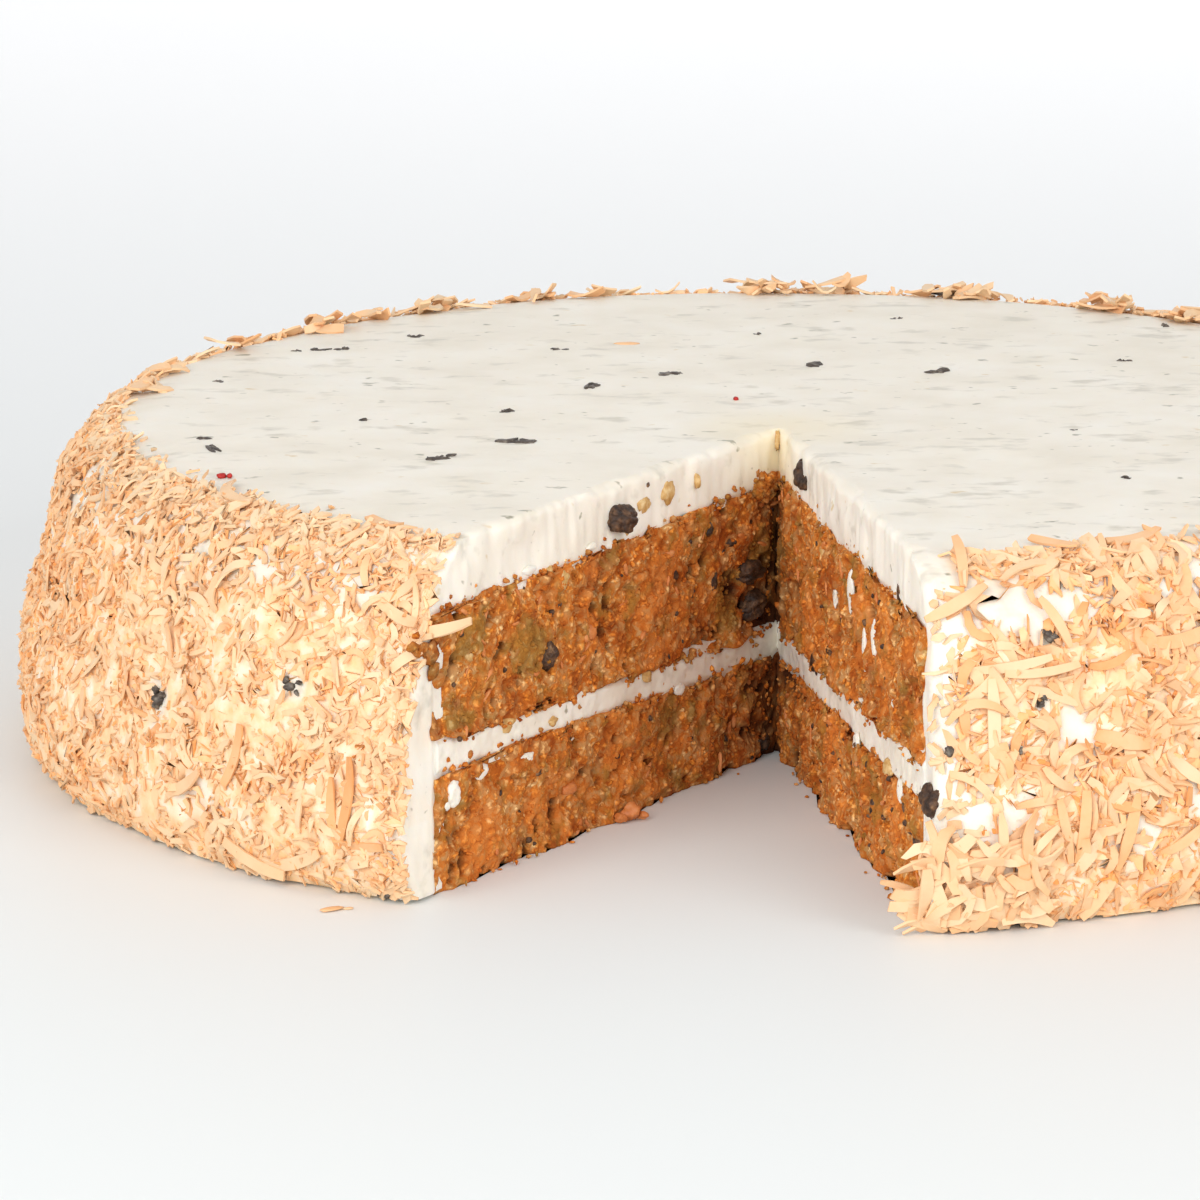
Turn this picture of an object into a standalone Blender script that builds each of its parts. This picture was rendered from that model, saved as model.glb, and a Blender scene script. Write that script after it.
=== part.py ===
# Carrot spice layer cake with one slice taken out. Metres, +Z up.
#
# The origin is on the cake's axis, in the plane that it stands on, and the missing slice faces -Y.
# From the bottom up there are a crumb layer, a cream filling and a second crumb layer, and one coat of
# cream cheese icing goes over the top and down the side. Shreds of toasted coconut are stuck all round
# the side and over its shoulder, and are one piece with the icing. Six raisins show beside the cuts.

import math
import random

import bmesh
import bpy
from mathutils import Matrix, Vector, noise
from mathutils.bvhtree import BVHTree

MM = 0.001
GAP = 0.3 * MM  # between neighbours, so that their meshes never touch

# The missing slice: two upright knife cuts, which meet a little in front of the axis.
# A bearing is measured from -Y, and is positive towards +X.
APEX = Vector((-2.3 * MM, -14.9 * MM, 0.0))
BEARINGS = {"left": math.radians(-31.5), "right": math.radians(10.7)}
CUT_REACH = 128 * MM  # past the icing
CUT_MARGIN = 6 * MM  # the slice's block passes the cake's foot and top by this
CUT_PITCH = 4.2 * MM  # spacing of the points that carry the relief
CRAG = 0.8 * MM  # height of the torn crumb's relief
SMEAR = 0.15 * MM  # and of the cream's, which the knife wipes smooth
CRAG_SIZE = 5.0 * MM
CRAG_START = 6.0 * MM  # the relief grows over this distance from the apex

# Heights of the layers' faces in the middle and at the rim, and how far +X stands over the middle
FILLING_FLOOR = (15.8 * MM, 16.9 * MM, -2.6 * MM)
FILLING_TOP = (19.9 * MM, 22.1 * MM, -0.8 * MM)
CRUMB_TOP = (42.9 * MM, 41.7 * MM, 1.1 * MM)
LAYER_WAVE = 0.5 * MM  # the layers bake a little uneven
LAYER_WAVELENGTH = 42 * MM

# Radii of the baked layers, at the foot and the top of each
LOWER_RADII = (109.8 * MM, 109.0 * MM)
UPPER_RADII = (109.4 * MM, 111.0 * MM)
LAYER_SEGMENTS = 28
LAYER_RINGS = (0.7, 0.35)  # inside a layer's rim, as shares of its radius

# Outer line of the icing, from its foot up to the smooth flat top: radius and height
ICING_LINE = [
    (116.8 * MM, 1.0 * MM),
    (118.8 * MM, 4.5 * MM),
    (119.6 * MM, 11.0 * MM),
    (118.9 * MM, 17.5 * MM),
    (117.5 * MM, 24.0 * MM),
    (116.0 * MM, 30.5 * MM),
    (114.3 * MM, 37.0 * MM),
    (112.2 * MM, 43.0 * MM),
    (109.0 * MM, 47.6 * MM),
    (104.5 * MM, 50.4 * MM),
    (98.0 * MM, 51.3 * MM),
]
ICING_TOP = ICING_LINE[-1][1]
ICING_SEGMENTS = 56
ICING_BUMP = 0.9 * MM  # the coat is uneven
ICING_BUMP_SIZE = 17 * MM
ICING_SHOULDER = 10 * MM  # below the flat top, over which the bumps fade out
ICING_SWELL = 1.6 * MM  # and thicker beside the left cut
ICING_SWELL_WIDTH = math.radians(18)

# Coconut shreds: flat curved strips
SHREDS = 198  # round the whole side; those in the missing slice are left out
SHRED_LENGTH = (9.0 * MM, 15.0 * MM)
SHRED_WIDTH = (1.9 * MM, 3.2 * MM)
SHRED_THICKNESS = 0.9 * MM
SHRED_TAPER = 0.35  # of its width, lost towards an end
SHRED_TWIST = 0.5  # radians at an end
SHRED_CURL = (0.2 * MM, 1.5 * MM)  # how far an end lifts off the icing
RIM_CURL = (1.0 * MM, 3.4 * MM)  # the same where the shreds stand up round the flat top
RIM_SHARE = 0.9  # of the way up the side, where the rim starts
SHRED_SEAT = 0.15 * MM  # the middle of a shred's thickness stands this far out of the icing
GOLDEN_SHARE = (math.sqrt(5) - 1) / 2  # a step up the side from shred to shred that spreads them evenly
SHRED_STEPS = (-1.0, 0.0, 1.0)  # along a shred, from end to end
SHRED_LOWEST = 1.0 * MM
SHRED_KEEP_OFF = 1.2 * MM  # clear distance to the crumb beside a cut

# Raisins: the cut that each shows in, its distance from the apex and its height, its three
# diameters and its turn in the face, in degrees
RAISINS = [
    ("left", 46.6 * MM, 45.6 * MM, (6.0 * MM, 4.6 * MM, 4.2 * MM), 10),
    ("left", 67.0 * MM, 29.4 * MM, (4.8 * MM, 3.6 * MM, 3.6 * MM), 60),
    ("left", 9.0 * MM, 30.4 * MM, (6.6 * MM, 4.4 * MM, 4.0 * MM), 5),
    ("left", 7.6 * MM, 24.9 * MM, (5.2 * MM, 3.8 * MM, 3.8 * MM), -15),
    ("right", 16.6 * MM, 46.7 * MM, (5.4 * MM, 4.0 * MM, 5.0 * MM), 80),
    ("right", 101.6 * MM, 18.6 * MM, (5.6 * MM, 4.4 * MM, 4.6 * MM), 65),
]
RAISIN_OUTSIDE = 1 / 3  # of a raisin's depth
RAISIN_WRINKLE = 0.06  # of the radius
RAISIN_WRINKLE_SIZE = 0.5  # on a raisin of radius 1


def uneven(place, size):
    """A smooth random value, mostly between -1 and 1, for bumps of the given size."""
    return 2 * noise.noise(Vector(place) / size)


def clear_scene():
    for obj in list(bpy.data.objects):
        bpy.data.objects.remove(obj, do_unlink=True)


def make_material(name, color, roughness):
    material = bpy.data.materials.new(name)
    material.use_nodes = True
    shader = material.node_tree.nodes["Principled BSDF"]
    shader.inputs["Base Color"].default_value = (*color, 1.0)
    shader.inputs["Roughness"].default_value = roughness
    shader.inputs["Metallic"].default_value = 0.0
    return material


def make_object(name, bm, material=None):
    """Turn a bmesh into an object with outward faces."""
    bmesh.ops.recalc_face_normals(bm, faces=bm.faces[:])
    mesh = bpy.data.meshes.new(name)
    bm.to_mesh(mesh)
    bm.free()
    obj = bpy.data.objects.new(name, mesh)
    bpy.context.scene.collection.objects.link(obj)
    if material:
        mesh.materials.append(material)
    return obj


def hide_cutter(obj):
    obj.hide_render = True
    obj.display_type = "WIRE"


def add_boolean(obj, cutter):
    modifier = obj.modifiers.new(f"without {cutter.name}", "BOOLEAN")
    modifier.operation = "DIFFERENCE"
    modifier.solver = "EXACT"
    modifier.object = cutter


def apply_modifiers(obj):
    graph = bpy.context.evaluated_depsgraph_get()
    mesh = bpy.data.meshes.new_from_object(obj.evaluated_get(graph))
    obj.modifiers.clear()
    obj.data = mesh


def cut_direction(side):
    bearing = BEARINGS[side]
    return Vector((math.sin(bearing), -math.cos(bearing), 0.0))


def cut_normal(side):
    """Points out of the crumb, into the missing slice."""
    outward = cut_direction(side).cross(Vector((0, 0, 1)))
    return outward if side == "right" else -outward


def layer_height(face, x, y):
    """The height of a layer's face: a shallow dome or dish, its tilt, and the waves on it."""
    middle, rim, rise = face
    across = math.hypot(x, y) / LOWER_RADII[0]
    wave = LAYER_WAVE * uneven((x, y, middle * LAYER_SEGMENTS), LAYER_WAVELENGTH)
    return middle + (rim - middle) * across**2 + rise * x / LOWER_RADII[0] + wave


def make_round(rows, flat_foot=False):
    """A closed round body. Each row is a radius and a height, or its function, from the foot up."""
    bm = bmesh.new()
    segments = LAYER_SEGMENTS
    turns = [2 * math.pi * (step + 0.5) / segments for step in range(segments)]

    def place(radius, turn, height):
        x, y = radius * math.cos(turn), radius * math.sin(turn)
        return bm.verts.new((x, y, height(x, y) if callable(height) else height))

    def make_ring(radius, height):
        return [place(radius, turn, height) for turn in turns]

    def join_rings(low, high):
        for step in range(segments):
            after = (step + 1) % segments
            bm.faces.new((low[step], low[after], high[after], high[step]))

    def make_cap(rim, radius, height):
        for share in LAYER_RINGS:
            ring = make_ring(radius * share, height)
            join_rings(rim, ring)
            rim = ring
        centre = place(0.0, 0.0, height)
        for step in range(segments):
            bm.faces.new((rim[step], rim[(step + 1) % segments], centre))

    rings = [make_ring(radius, height) for radius, height in rows]
    for low, high in zip(rings, rings[1:]):
        join_rings(low, high)
    make_cap(rings[-1], *rows[-1])
    if flat_foot:
        bm.faces.new(reversed(rings[0]))
    else:
        make_cap(rings[0], *rows[0])
    bmesh.ops.triangulate(bm, faces=[face for face in bm.faces if len(face.verts) == 4])
    return bm


def face_of(face, offset=0.0):
    return lambda x, y: layer_height(face, x, y) + offset


def make_layers(crumb, cream):
    """The two crumb layers and the cream between them, still whole."""
    half = GAP / 2
    lower = make_round([
        (LOWER_RADII[0], 0.0),
        (LOWER_RADII[1], face_of(FILLING_FLOOR, -half)),
    ], flat_foot=True)
    filling = make_round([
        (LOWER_RADII[1], face_of(FILLING_FLOOR, half)),
        (LOWER_RADII[1], face_of(FILLING_TOP, -half)),
    ])
    upper = make_round([
        (UPPER_RADII[0], face_of(FILLING_TOP, half)),
        (UPPER_RADII[1], face_of(CRUMB_TOP, -half)),
    ])
    return [
        make_object("cake_lower_layer", lower, crumb),
        make_object("cream_filling", filling, cream),
        make_object("cake_upper_layer", upper, crumb),
    ]


def make_icing_hollow():
    """The space that the layers fill under the icing, with the gap round them."""
    half = GAP / 2
    bm = make_round([
        (LOWER_RADII[0] + GAP, -CUT_MARGIN),
        (LOWER_RADII[0] + GAP, 0.0),
        (LOWER_RADII[1] + GAP, face_of(FILLING_FLOOR)),
        (UPPER_RADII[0] + GAP, face_of(FILLING_TOP)),
        (UPPER_RADII[1] + GAP, face_of(CRUMB_TOP, half)),
    ])
    return make_object("icing_hollow", bm)


def icing_radius(radius, height, turn):
    """The icing's outer line, with the coat's unevenness. It fades out towards the flat top."""
    place = (radius * math.cos(turn), radius * math.sin(turn), height)
    bump = ICING_BUMP * uneven(place, ICING_BUMP_SIZE) * min(1.0, (ICING_TOP - height) / ICING_SHOULDER)
    from_left_cut = math.remainder(turn + math.pi / 2 - BEARINGS["left"], 2 * math.pi)
    swell = ICING_SWELL * math.exp(-((from_left_cut / ICING_SWELL_WIDTH) ** 2))
    return radius + bump + swell * math.sin(math.pi * height / ICING_TOP) ** 2


def make_icing_body(cream):
    """The whole coat as a solid block, from its foot to its flat top."""
    bm = bmesh.new()
    rings = []
    for radius, height in ICING_LINE:
        ring = []
        for step in range(ICING_SEGMENTS):
            turn = 2 * math.pi * step / ICING_SEGMENTS
            reach = icing_radius(radius, height, turn)
            ring.append(bm.verts.new((reach * math.cos(turn), reach * math.sin(turn), height)))
        rings.append(ring)
    for low, high in zip(rings, rings[1:]):
        for step in range(ICING_SEGMENTS):
            after = (step + 1) % ICING_SEGMENTS
            bm.faces.new((low[step], low[after], high[after], high[step]))
    bmesh.ops.triangulate(bm, faces=bm.faces[:])
    bm.faces.new(reversed(rings[0]))
    bm.faces.new(rings[-1])
    return make_object("icing", bm, cream)


def cut_relief(along, height, x, y):
    """How far the cut face stands out at a point: rough in crumb, smooth in cream."""
    in_cream = height > layer_height(CRUMB_TOP, x, y) or (
        layer_height(FILLING_FLOOR, x, y) < height < layer_height(FILLING_TOP, x, y)
    )
    depth = SMEAR if in_cream else CRAG
    return depth * uneven((x, y, height), CRAG_SIZE) * min(1.0, along / CRAG_START)


def make_slice():
    """The missing slice, a little taller and longer than the cake, with the relief of both cuts."""
    bm = bmesh.new()
    columns = round(CUT_REACH / CUT_PITCH)
    floor, ceiling = -CUT_MARGIN, ICING_TOP + CUT_MARGIN
    levels = round((ceiling - floor) / CUT_PITCH)
    rows = []
    for level in range(levels + 1):
        height = floor + (ceiling - floor) * level / levels
        row = []
        for side, steps in (("left", range(columns, 0, -1)), ("right", range(columns + 1))):
            for step in steps:
                along = CUT_REACH * step / columns
                point = APEX + cut_direction(side) * along
                point = point + cut_normal(side) * cut_relief(along, height, point.x, point.y)
                row.append(bm.verts.new((point.x, point.y, height)))
        rows.append(row)
    for low, high in zip(rows, rows[1:]):
        for step in range(len(low)):
            after = (step + 1) % len(low)
            bm.faces.new((low[step], low[after], high[after], high[step]))
    bmesh.ops.triangulate(bm, faces=bm.faces[:])
    bm.faces.new(reversed(rows[0]))
    bm.faces.new(rows[-1])
    cutter = make_object("missing_slice", bm)
    hide_cutter(cutter)
    return cutter


def make_shred(tree, centre, heading, length, width, curl, twist):
    """One curved strip on the icing's surface: its middle lies in the icing and its ends lift."""
    bm = bmesh.new()
    _, normal, _, _ = tree.find_nearest(centre)
    across = normal.cross(Vector((0, 0, 1))).normalized()
    tangent = Matrix.Rotation(heading, 3, normal) @ across
    sections = []
    for step in SHRED_STEPS:
        on_surface, normal, _, _ = tree.find_nearest(centre + tangent * step * length / 2)
        spine = on_surface + normal * (SHRED_SEAT + curl * step * step)
        flat = Matrix.Rotation(twist * step, 3, tangent) @ normal
        side = tangent.cross(flat).normalized() * width / 2 * (1.0 - SHRED_TAPER * step * step)
        lift = flat * SHRED_THICKNESS / 2
        corners = (spine - side - lift, spine + side - lift, spine + side + lift, spine - side + lift)
        sections.append([bm.verts.new(corner) for corner in corners])
    for low, high in zip(sections, sections[1:]):
        for corner in range(4):
            after = (corner + 1) % 4
            bm.faces.new((low[corner], low[after], high[after], high[corner]))
    bm.faces.new(reversed(sections[0]))
    bm.faces.new(sections[-1])
    bmesh.ops.triangulate(bm, faces=bm.faces[:])
    return bm


def is_clear(bm):
    """Whether a shred keeps off the floor and, at the slice, outside the crumb's radius."""
    reach = UPPER_RADII[1] + SHRED_KEEP_OFF
    for vertex in bm.verts:
        if vertex.co.z < SHRED_LOWEST:
            return False
        if vertex.co.xy.length < reach and in_slice(vertex.co):
            return False
    return True


def in_slice(point):
    from_apex = point - APEX
    return all(from_apex.dot(cut_normal(side)) > -SHRED_KEEP_OFF for side in BEARINGS)


def side_point(share, turn):
    """A point of the icing's outer line, at a share of its length from the foot to the shoulder."""
    line = ICING_LINE[:-1]
    lengths = [math.dist(low, high) for low, high in zip(line, line[1:])]
    left = share * sum(lengths)
    for low, high, length in zip(line, line[1:], lengths):
        if left <= length:
            break
        left -= length
    along = min(1.0, left / length)
    radius = low[0] + (high[0] - low[0]) * along
    height = low[1] + (high[1] - low[1]) * along
    reach = icing_radius(radius, height, turn)
    return Vector((reach * math.cos(turn), reach * math.sin(turn), height))


def make_shreds(icing):
    """All shreds, in a collection, spread evenly round and up the side."""
    collection = bpy.data.collections.new("shreds")
    bpy.context.scene.collection.children.link(collection)
    tree = BVHTree.FromObject(icing, bpy.context.evaluated_depsgraph_get())
    rng = random.Random(11)
    for index in range(SHREDS):
        turn = 2 * math.pi * (index + rng.uniform(-0.5, 0.5)) / SHREDS
        share = (index * GOLDEN_SHARE) % 1.0
        centre = side_point(share, turn)
        heading = rng.uniform(0.0, math.pi)
        length = rng.uniform(*SHRED_LENGTH)
        width = rng.uniform(*SHRED_WIDTH)
        curl = rng.uniform(*(RIM_CURL if share > RIM_SHARE else SHRED_CURL))
        twist = rng.uniform(-SHRED_TWIST, SHRED_TWIST)
        if in_slice(centre):
            continue
        bm = make_shred(tree, centre, heading, length, width, curl, twist)
        if not is_clear(bm):
            bm.free()
            continue
        shred = make_object(f"shred_{index}", bm)
        bpy.context.scene.collection.objects.unlink(shred)
        collection.objects.link(shred)
    return collection


def fuse_shreds(icing, collection):
    modifier = icing.modifiers.new("with shreds", "BOOLEAN")
    modifier.operation = "UNION"
    modifier.operand_type = "COLLECTION"
    modifier.collection = collection
    modifier.solver = "EXACT"
    apply_modifiers(icing)
    for shred in list(collection.objects):
        bpy.data.objects.remove(shred, do_unlink=True)
    bpy.data.collections.remove(collection)


def keep_outer_shell(obj):
    """Fill the hollows that fusing seals, and drop loose scraps: only the largest shell stays."""
    bm = bmesh.new()
    bm.from_mesh(obj.data)
    shells = []
    unseen = set(bm.verts)
    while unseen:
        front = [unseen.pop()]
        shell = set(front)
        while front:
            for edge in front.pop().link_edges:
                for vertex in edge.verts:
                    if vertex in unseen:
                        unseen.remove(vertex)
                        shell.add(vertex)
                        front.append(vertex)
        shells.append(shell)
    shells.sort(key=len)
    for shell in shells[:-1]:
        bmesh.ops.delete(bm, geom=list(shell), context="VERTS")
    bm.to_mesh(obj.data)
    bm.free()


def make_raisin_shape(side, along, height, diameters, turn, growth=0.0):
    """A wrinkled oval in a cut face."""
    bm = bmesh.new()
    bmesh.ops.create_icosphere(bm, subdivisions=2, radius=1.0)
    for vertex in bm.verts:
        vertex.co *= 1.0 + RAISIN_WRINKLE * uneven(vertex.co, RAISIN_WRINKLE_SIZE)
        vertex.co = Vector([part * size / 2 for part, size in zip(vertex.co, diameters)])
    bm.normal_update()
    for vertex in bm.verts:
        vertex.co += vertex.normal * growth
    outward = cut_normal(side)
    frame = Matrix((cut_direction(side), Vector((0, 0, 1)), outward)).transposed()
    spin = Matrix.Rotation(math.radians(turn), 3, outward)
    sunk = outward * diameters[2] * (0.5 - RAISIN_OUTSIDE)
    centre = APEX + cut_direction(side) * along - sunk + Vector((0, 0, height))
    for vertex in bm.verts:
        vertex.co = centre + spin @ frame @ vertex.co
    return bm


def add_raisins(carriers, flesh):
    """The raisins, each in a pocket of the pieces that it lies in."""
    for number, raisin in enumerate(RAISINS, start=1):
        make_object(f"raisin_{number}", make_raisin_shape(*raisin), flesh)
        pocket = make_object(f"pocket_{number}", make_raisin_shape(*raisin, growth=GAP))
        hide_cutter(pocket)
        for carrier in carriers:
            add_boolean(carrier, pocket)


def main():
    clear_scene()
    crumb = make_material("carrot crumb", (0.42, 0.17, 0.05), 0.9)
    cream = make_material("cream cheese icing", (0.86, 0.80, 0.68), 0.55)
    coat = make_material("icing with toasted coconut", (0.90, 0.68, 0.40), 0.7)
    flesh = make_material("raisin", (0.03, 0.015, 0.01), 0.5)
    missing_slice = make_slice()
    layers = make_layers(crumb, cream)
    icing = make_icing_body(coat)
    shreds = make_shreds(icing)
    hollow = make_icing_hollow()
    add_boolean(icing, hollow)
    add_boolean(icing, missing_slice)
    apply_modifiers(icing)
    bpy.data.objects.remove(hollow, do_unlink=True)
    fuse_shreds(icing, shreds)
    keep_outer_shell(icing)
    for layer in layers:
        add_boolean(layer, missing_slice)
    add_raisins([*layers, icing], flesh)


main()
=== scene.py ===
import math

import bmesh
import bpy
import numpy as np
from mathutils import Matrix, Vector, noise


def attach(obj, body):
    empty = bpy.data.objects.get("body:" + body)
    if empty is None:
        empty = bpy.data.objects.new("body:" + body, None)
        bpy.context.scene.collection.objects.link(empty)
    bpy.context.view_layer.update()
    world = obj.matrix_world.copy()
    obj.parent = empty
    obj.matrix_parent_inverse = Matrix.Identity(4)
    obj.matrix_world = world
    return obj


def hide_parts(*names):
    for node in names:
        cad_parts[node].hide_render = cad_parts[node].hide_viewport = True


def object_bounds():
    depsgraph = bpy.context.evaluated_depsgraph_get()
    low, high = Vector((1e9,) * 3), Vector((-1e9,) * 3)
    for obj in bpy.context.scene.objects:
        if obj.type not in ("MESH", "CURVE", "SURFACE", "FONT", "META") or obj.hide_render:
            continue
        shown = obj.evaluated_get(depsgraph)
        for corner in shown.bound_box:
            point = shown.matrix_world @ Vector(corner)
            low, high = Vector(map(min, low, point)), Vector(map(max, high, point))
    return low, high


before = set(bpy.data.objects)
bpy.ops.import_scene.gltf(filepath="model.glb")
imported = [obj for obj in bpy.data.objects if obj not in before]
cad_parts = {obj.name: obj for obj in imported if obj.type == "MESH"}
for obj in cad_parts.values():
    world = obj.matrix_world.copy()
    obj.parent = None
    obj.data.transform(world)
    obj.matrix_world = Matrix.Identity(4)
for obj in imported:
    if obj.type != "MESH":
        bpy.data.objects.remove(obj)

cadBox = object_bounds()
mm = 0.001

# The cake's own sizes, as its solids have them. A bearing runs from -Y and is positive towards +X.
cake = {
    "apex": np.array([-2.3, -14.9]) * mm,  # where the two knife cuts meet
    "bearings": {"left": math.radians(-31.5), "right": math.radians(10.7)},
    "crumbRadius": 109.8 * mm,
    "fillingFloor": (15.8 * mm, 16.9 * mm, -2.6 * mm),  # in the middle, at the rim, rise towards +X
    "fillingTop": (19.9 * mm, 22.1 * mm, -0.8 * mm),
    "crumbTop": (42.9 * mm, 41.7 * mm, 1.1 * mm),
    "icingTop": 51.3 * mm,
    "waveHeight": 0.5 * mm,
    "waveLength": 42 * mm,
    "waveStep": 28,
}


# Coconut: how many shreds of each kind lie on the side, what shapes they have, and where the largest are
coconut = {
    "seed": 5,
    "counts": {
        "BedPale": 9400, "BedGold": 5600, "Pale": 4600, "Gold": 2800, "Fine": 10500, "Long": 560,
    },
    # sections, length, width, thickness, lift, end lift, bend, arch, roll, twist and toast, in mm and radians
    "shreds": {
        "BedPale": (3, (2, 5.5), (0.9, 2.0), 0.35, (0, 0.4), (0, 0.5), 1.15, 0.45, 0.3, 0.7, (0.05, 0.4)),
        "BedGold": (3, (2, 5), (0.8, 1.6), 0.35, (-0.1, 0.4), (0, 0.6), 1.15, 0.45, 0.4, 0.7, (0.25, 0.6)),
        "Pale": (5, (4, 9), (1.2, 2.4), 0.36, (0.1, 0.58), (0, 0.9), 1.15, 0.45, 0.26, 0.7, (0.05, 0.4)),
        "Gold": (5, (3.5, 8), (0.9, 2), 0.36, (0.1, 0.66), (0, 1.2), 1.15, 0.45, 0.4, 0.7, (0.25, 0.65)),
        "Fine": (2, (1.6, 3.8), (0.8, 1.6), 0.33, (0.1, 0.7), (0.0, 0.6), 1.15, 0.45, 0.4, 0.7, (0.0, 0.6)),
        "Long": (7, (7, 12), (1.5, 2.6), 0.35, (0.4, 0.9), (0, 1), 1.15, 0.45, 0.25, 0.7, (0.05, 0.5)),
        "Rim": (5, (3, 7), (1.4, 2.6), 0.4, (0.3, 1.6), (0, 1.8), 0.8, 0.4, 0.4, 0.7, (0.0, 0.45)),
        "Clump": (5, (4, 8), (1.1, 2.2), 0.38, (0.6, 1.9), (0, 1.2), 1.0, 0.5, 0.35, 0.6, (0.05, 0.5)),
        "Strays": (3, (1.2, 3.6), (0.6, 1.4), 0.35, (-0.1, 0.35), (0, 0.4), 0.4, 0.2, 0.3, 0.6, (0.0, 0.5)),
    },
    # icing left bare beside each cut, by height
    "bareHeights": (0, 8, 14, 34, 42, 50),
    "bareStrip": {"left": (3.8, 2.6, -1.6, -2.4, -0.6, 0.8), "right": (-1.0, -0.4, 3.2, 3.8, 4.0, 3.6)},
    "rimShare": 0.02,  # how many lie on the rim
    "coverTop": 1.2 * mm,  # how far those run in over the top
    "rimClumps": (  # turns, in degrees
        93.1, 91.0, 88.6, 84.7, 75.2, 73.4, 70.9, 57.3, 55.6, 49.1, 46.0, 125.1, 122.5, 132.0, 137.5, 139.6,
        106.6, 113.5, 151.0, 163.0, 172.0, 20.0, 8.0, 355.0, 342.0, 330.0, 318.0,
    ),
    "edgeWobble": ((1.6, 7, 91), (0.8, 2.5, 92)),  # how ragged the coconut's edge is beside the cuts
    "clumpSize": 9, "footClump": 90, "strays": 420, "leftStrays": 0.85,
    "fallen": [  # x, y, z, length, width, thickness, turn and toast of flakes on the top and at the foot
        (-25.3, 53.4, 51.3, 4.4, 2.0, 0.5, 4, 0.5), (-67.6, -105.6, 0.3, 4.0, 1.6, 0.5, 35, 0.6),
        (-65.2, -104.9, 0.2, 1.6, 0.9, 0.3, 20, 0.4), (14.6, -103.9, 0.3, 1.8, 0.8, 0.4, 60, 0.3),
    ],
    "heroes": [  # turn, distance up, heading, length, width, lift, end lift, bend, toast
        (237.3, 14.8, 84, 13, 2.4, 0.9, 0.6, 0.7, 0.78), (236.2, 13.0, 98, 10, 2.0, 0.8, 0.5, -0.5, 0.7),
        (238.4, 9.0, 4, 8, 2.0, 0.8, 0.6, 0.4, 0.6), (217.0, 55.2, -21, 12, 2.4, 0.8, 0.5, 1.8, 0.3),
        (233.8, 56.9, -10, 7, 3.2, 0.35, 0.2, 0.4, 0.5), (281.2, 53.4, 85, 9, 2.1, 0.8, 1.3, 0.2, 0.5),
        (280.2, 46.4, 25, 10, 2.6, 0.9, 0.7, 0.3, 0.4), (297.0, 39.5, 6, 14, 2.8, 1.1, 0.9, 1.5, 0.62),
        (291.5, 26.0, -15, 8, 3.2, 0.9, 0.4, 0.2, 0.55), (291.0, 37.0, 15, 6, 1.8, 1.2, 1.2, 0.8, 0.8),
        (280.3, 30.5, 95, 5, 2.2, 0.7, 0.4, 0.1, 0.7), (287.4, 43.0, 120, 8, 2.0, 1.1, 0.8, 0.5, 0.45),
        (289.0, 56.0, -45, 7, 2.2, 0.9, 0.9, 0.5, 0.5), (296.0, 55.5, 5, 9, 2.8, 0.7, 0.7, 0.5, 0.45),
        (288.3, 14.5, 80, 10, 2.2, 0.9, 0.5, 0.2, 0.6), (287.0, 14.2, 100, 9, 2.0, 0.9, 0.5, 0.2, 0.5),
        (291.6, 13.2, 74, 11, 2.4, 0.9, 0.5, 0.4, 0.62), (275.9, 7.0, 158, 6.5, 1.4, -0.6, 0.3, 0.3, 0.4),
        (241.9, 40.2, 14, 13.0, 2.5, -0.4, 0.4, 0.7, 0.2), (239.2, 41.6, -18, 7.5, 2.4, 0.8, 0.8, 0.5, 0.3),
        (238.6, 44.6, 30, 8, 2.4, 0.8, 0.5, 0.5, 0.25), (151.0, 59.4, 62, 8, 1.8, 0.8, 2.0, 0.9, 0.55),
        (232.4, 4.6, 20, 12, 2.6, 0.9, 0.5, 0.6, 0.2), (227.0, 18.0, 70, 10, 2.2, 0.9, 0.5, 0.6, 0.6),
        (222.0, 12.0, 30, 9, 2.6, 0.8, 0.5, 0.6, 0.35), (228.5, 3.4, -14, 12, 2.6, 1.0, 0.6, 0.6, 0.3),
        (283.8, 37.5, 5, 12, 2.0, 0.9, 0.4, 0.4, 0.2), (286.0, 36.4, 3, 11, 1.8, 1.1, 0.4, 0.5, 0.3),
        (282.3, 29.4, 88, 13, 2.6, 0.8, 0.3, 0.3, 0.1), (284.5, 9.0, 60, 10, 2.6, 1.0, 0.9, 0.6, 0.5),
    ],
}

coatSpots = [  # turn, distance up the side and size of the dark bits among the coconut, in degrees and mm
    (217.3, 22.4, 1.9), (216.8, 23.4, 1.3), (217.7, 23.2, 1.1), (217.1, 21.4, 1.0), (231.5, 29.6, 1.5),
    (232.1, 29.0, 1.0), (231.1, 30.5, 1.2), (232.2, 30.4, 0.9), (287.0, 41.2, 2.2), (286.5, 41.9, 1.2),
    (286.0, 32.9, 1.3), (285.8, 31.9, 1.0), (284.0, 25.5, 1.4), (283.4, 24.7, 1.0), (239.6, 1.2, 0.8),
    (238.8, 0.9, 0.6), (279.2, 26.2, 1.3), (200.4, 31.0, 1.4), (150.0, 20.0, 1.8), (120.0, 34.0, 1.6),
    (95.0, 12.0, 2.0), (60.0, 28.0, 1.8), (30.0, 18.0, 1.7), (5.0, 36.0, 1.6), (330.0, 22.0, 1.9),
    (310.0, 34.0, 1.7), (345.0, 9.0, 1.5), (170.0, 41.0, 1.5), (185.0, 8.0, 1.8),
]


def toLinear(hexColour):
    channels = [int(hexColour[i:i + 2], 16) / 255 for i in (1, 3, 5)]
    linear = [c / 12.92 if c <= 0.04045 else ((c + 0.055) / 1.055) ** 2.4 for c in channels]
    return (*linear, 1.0)


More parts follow.
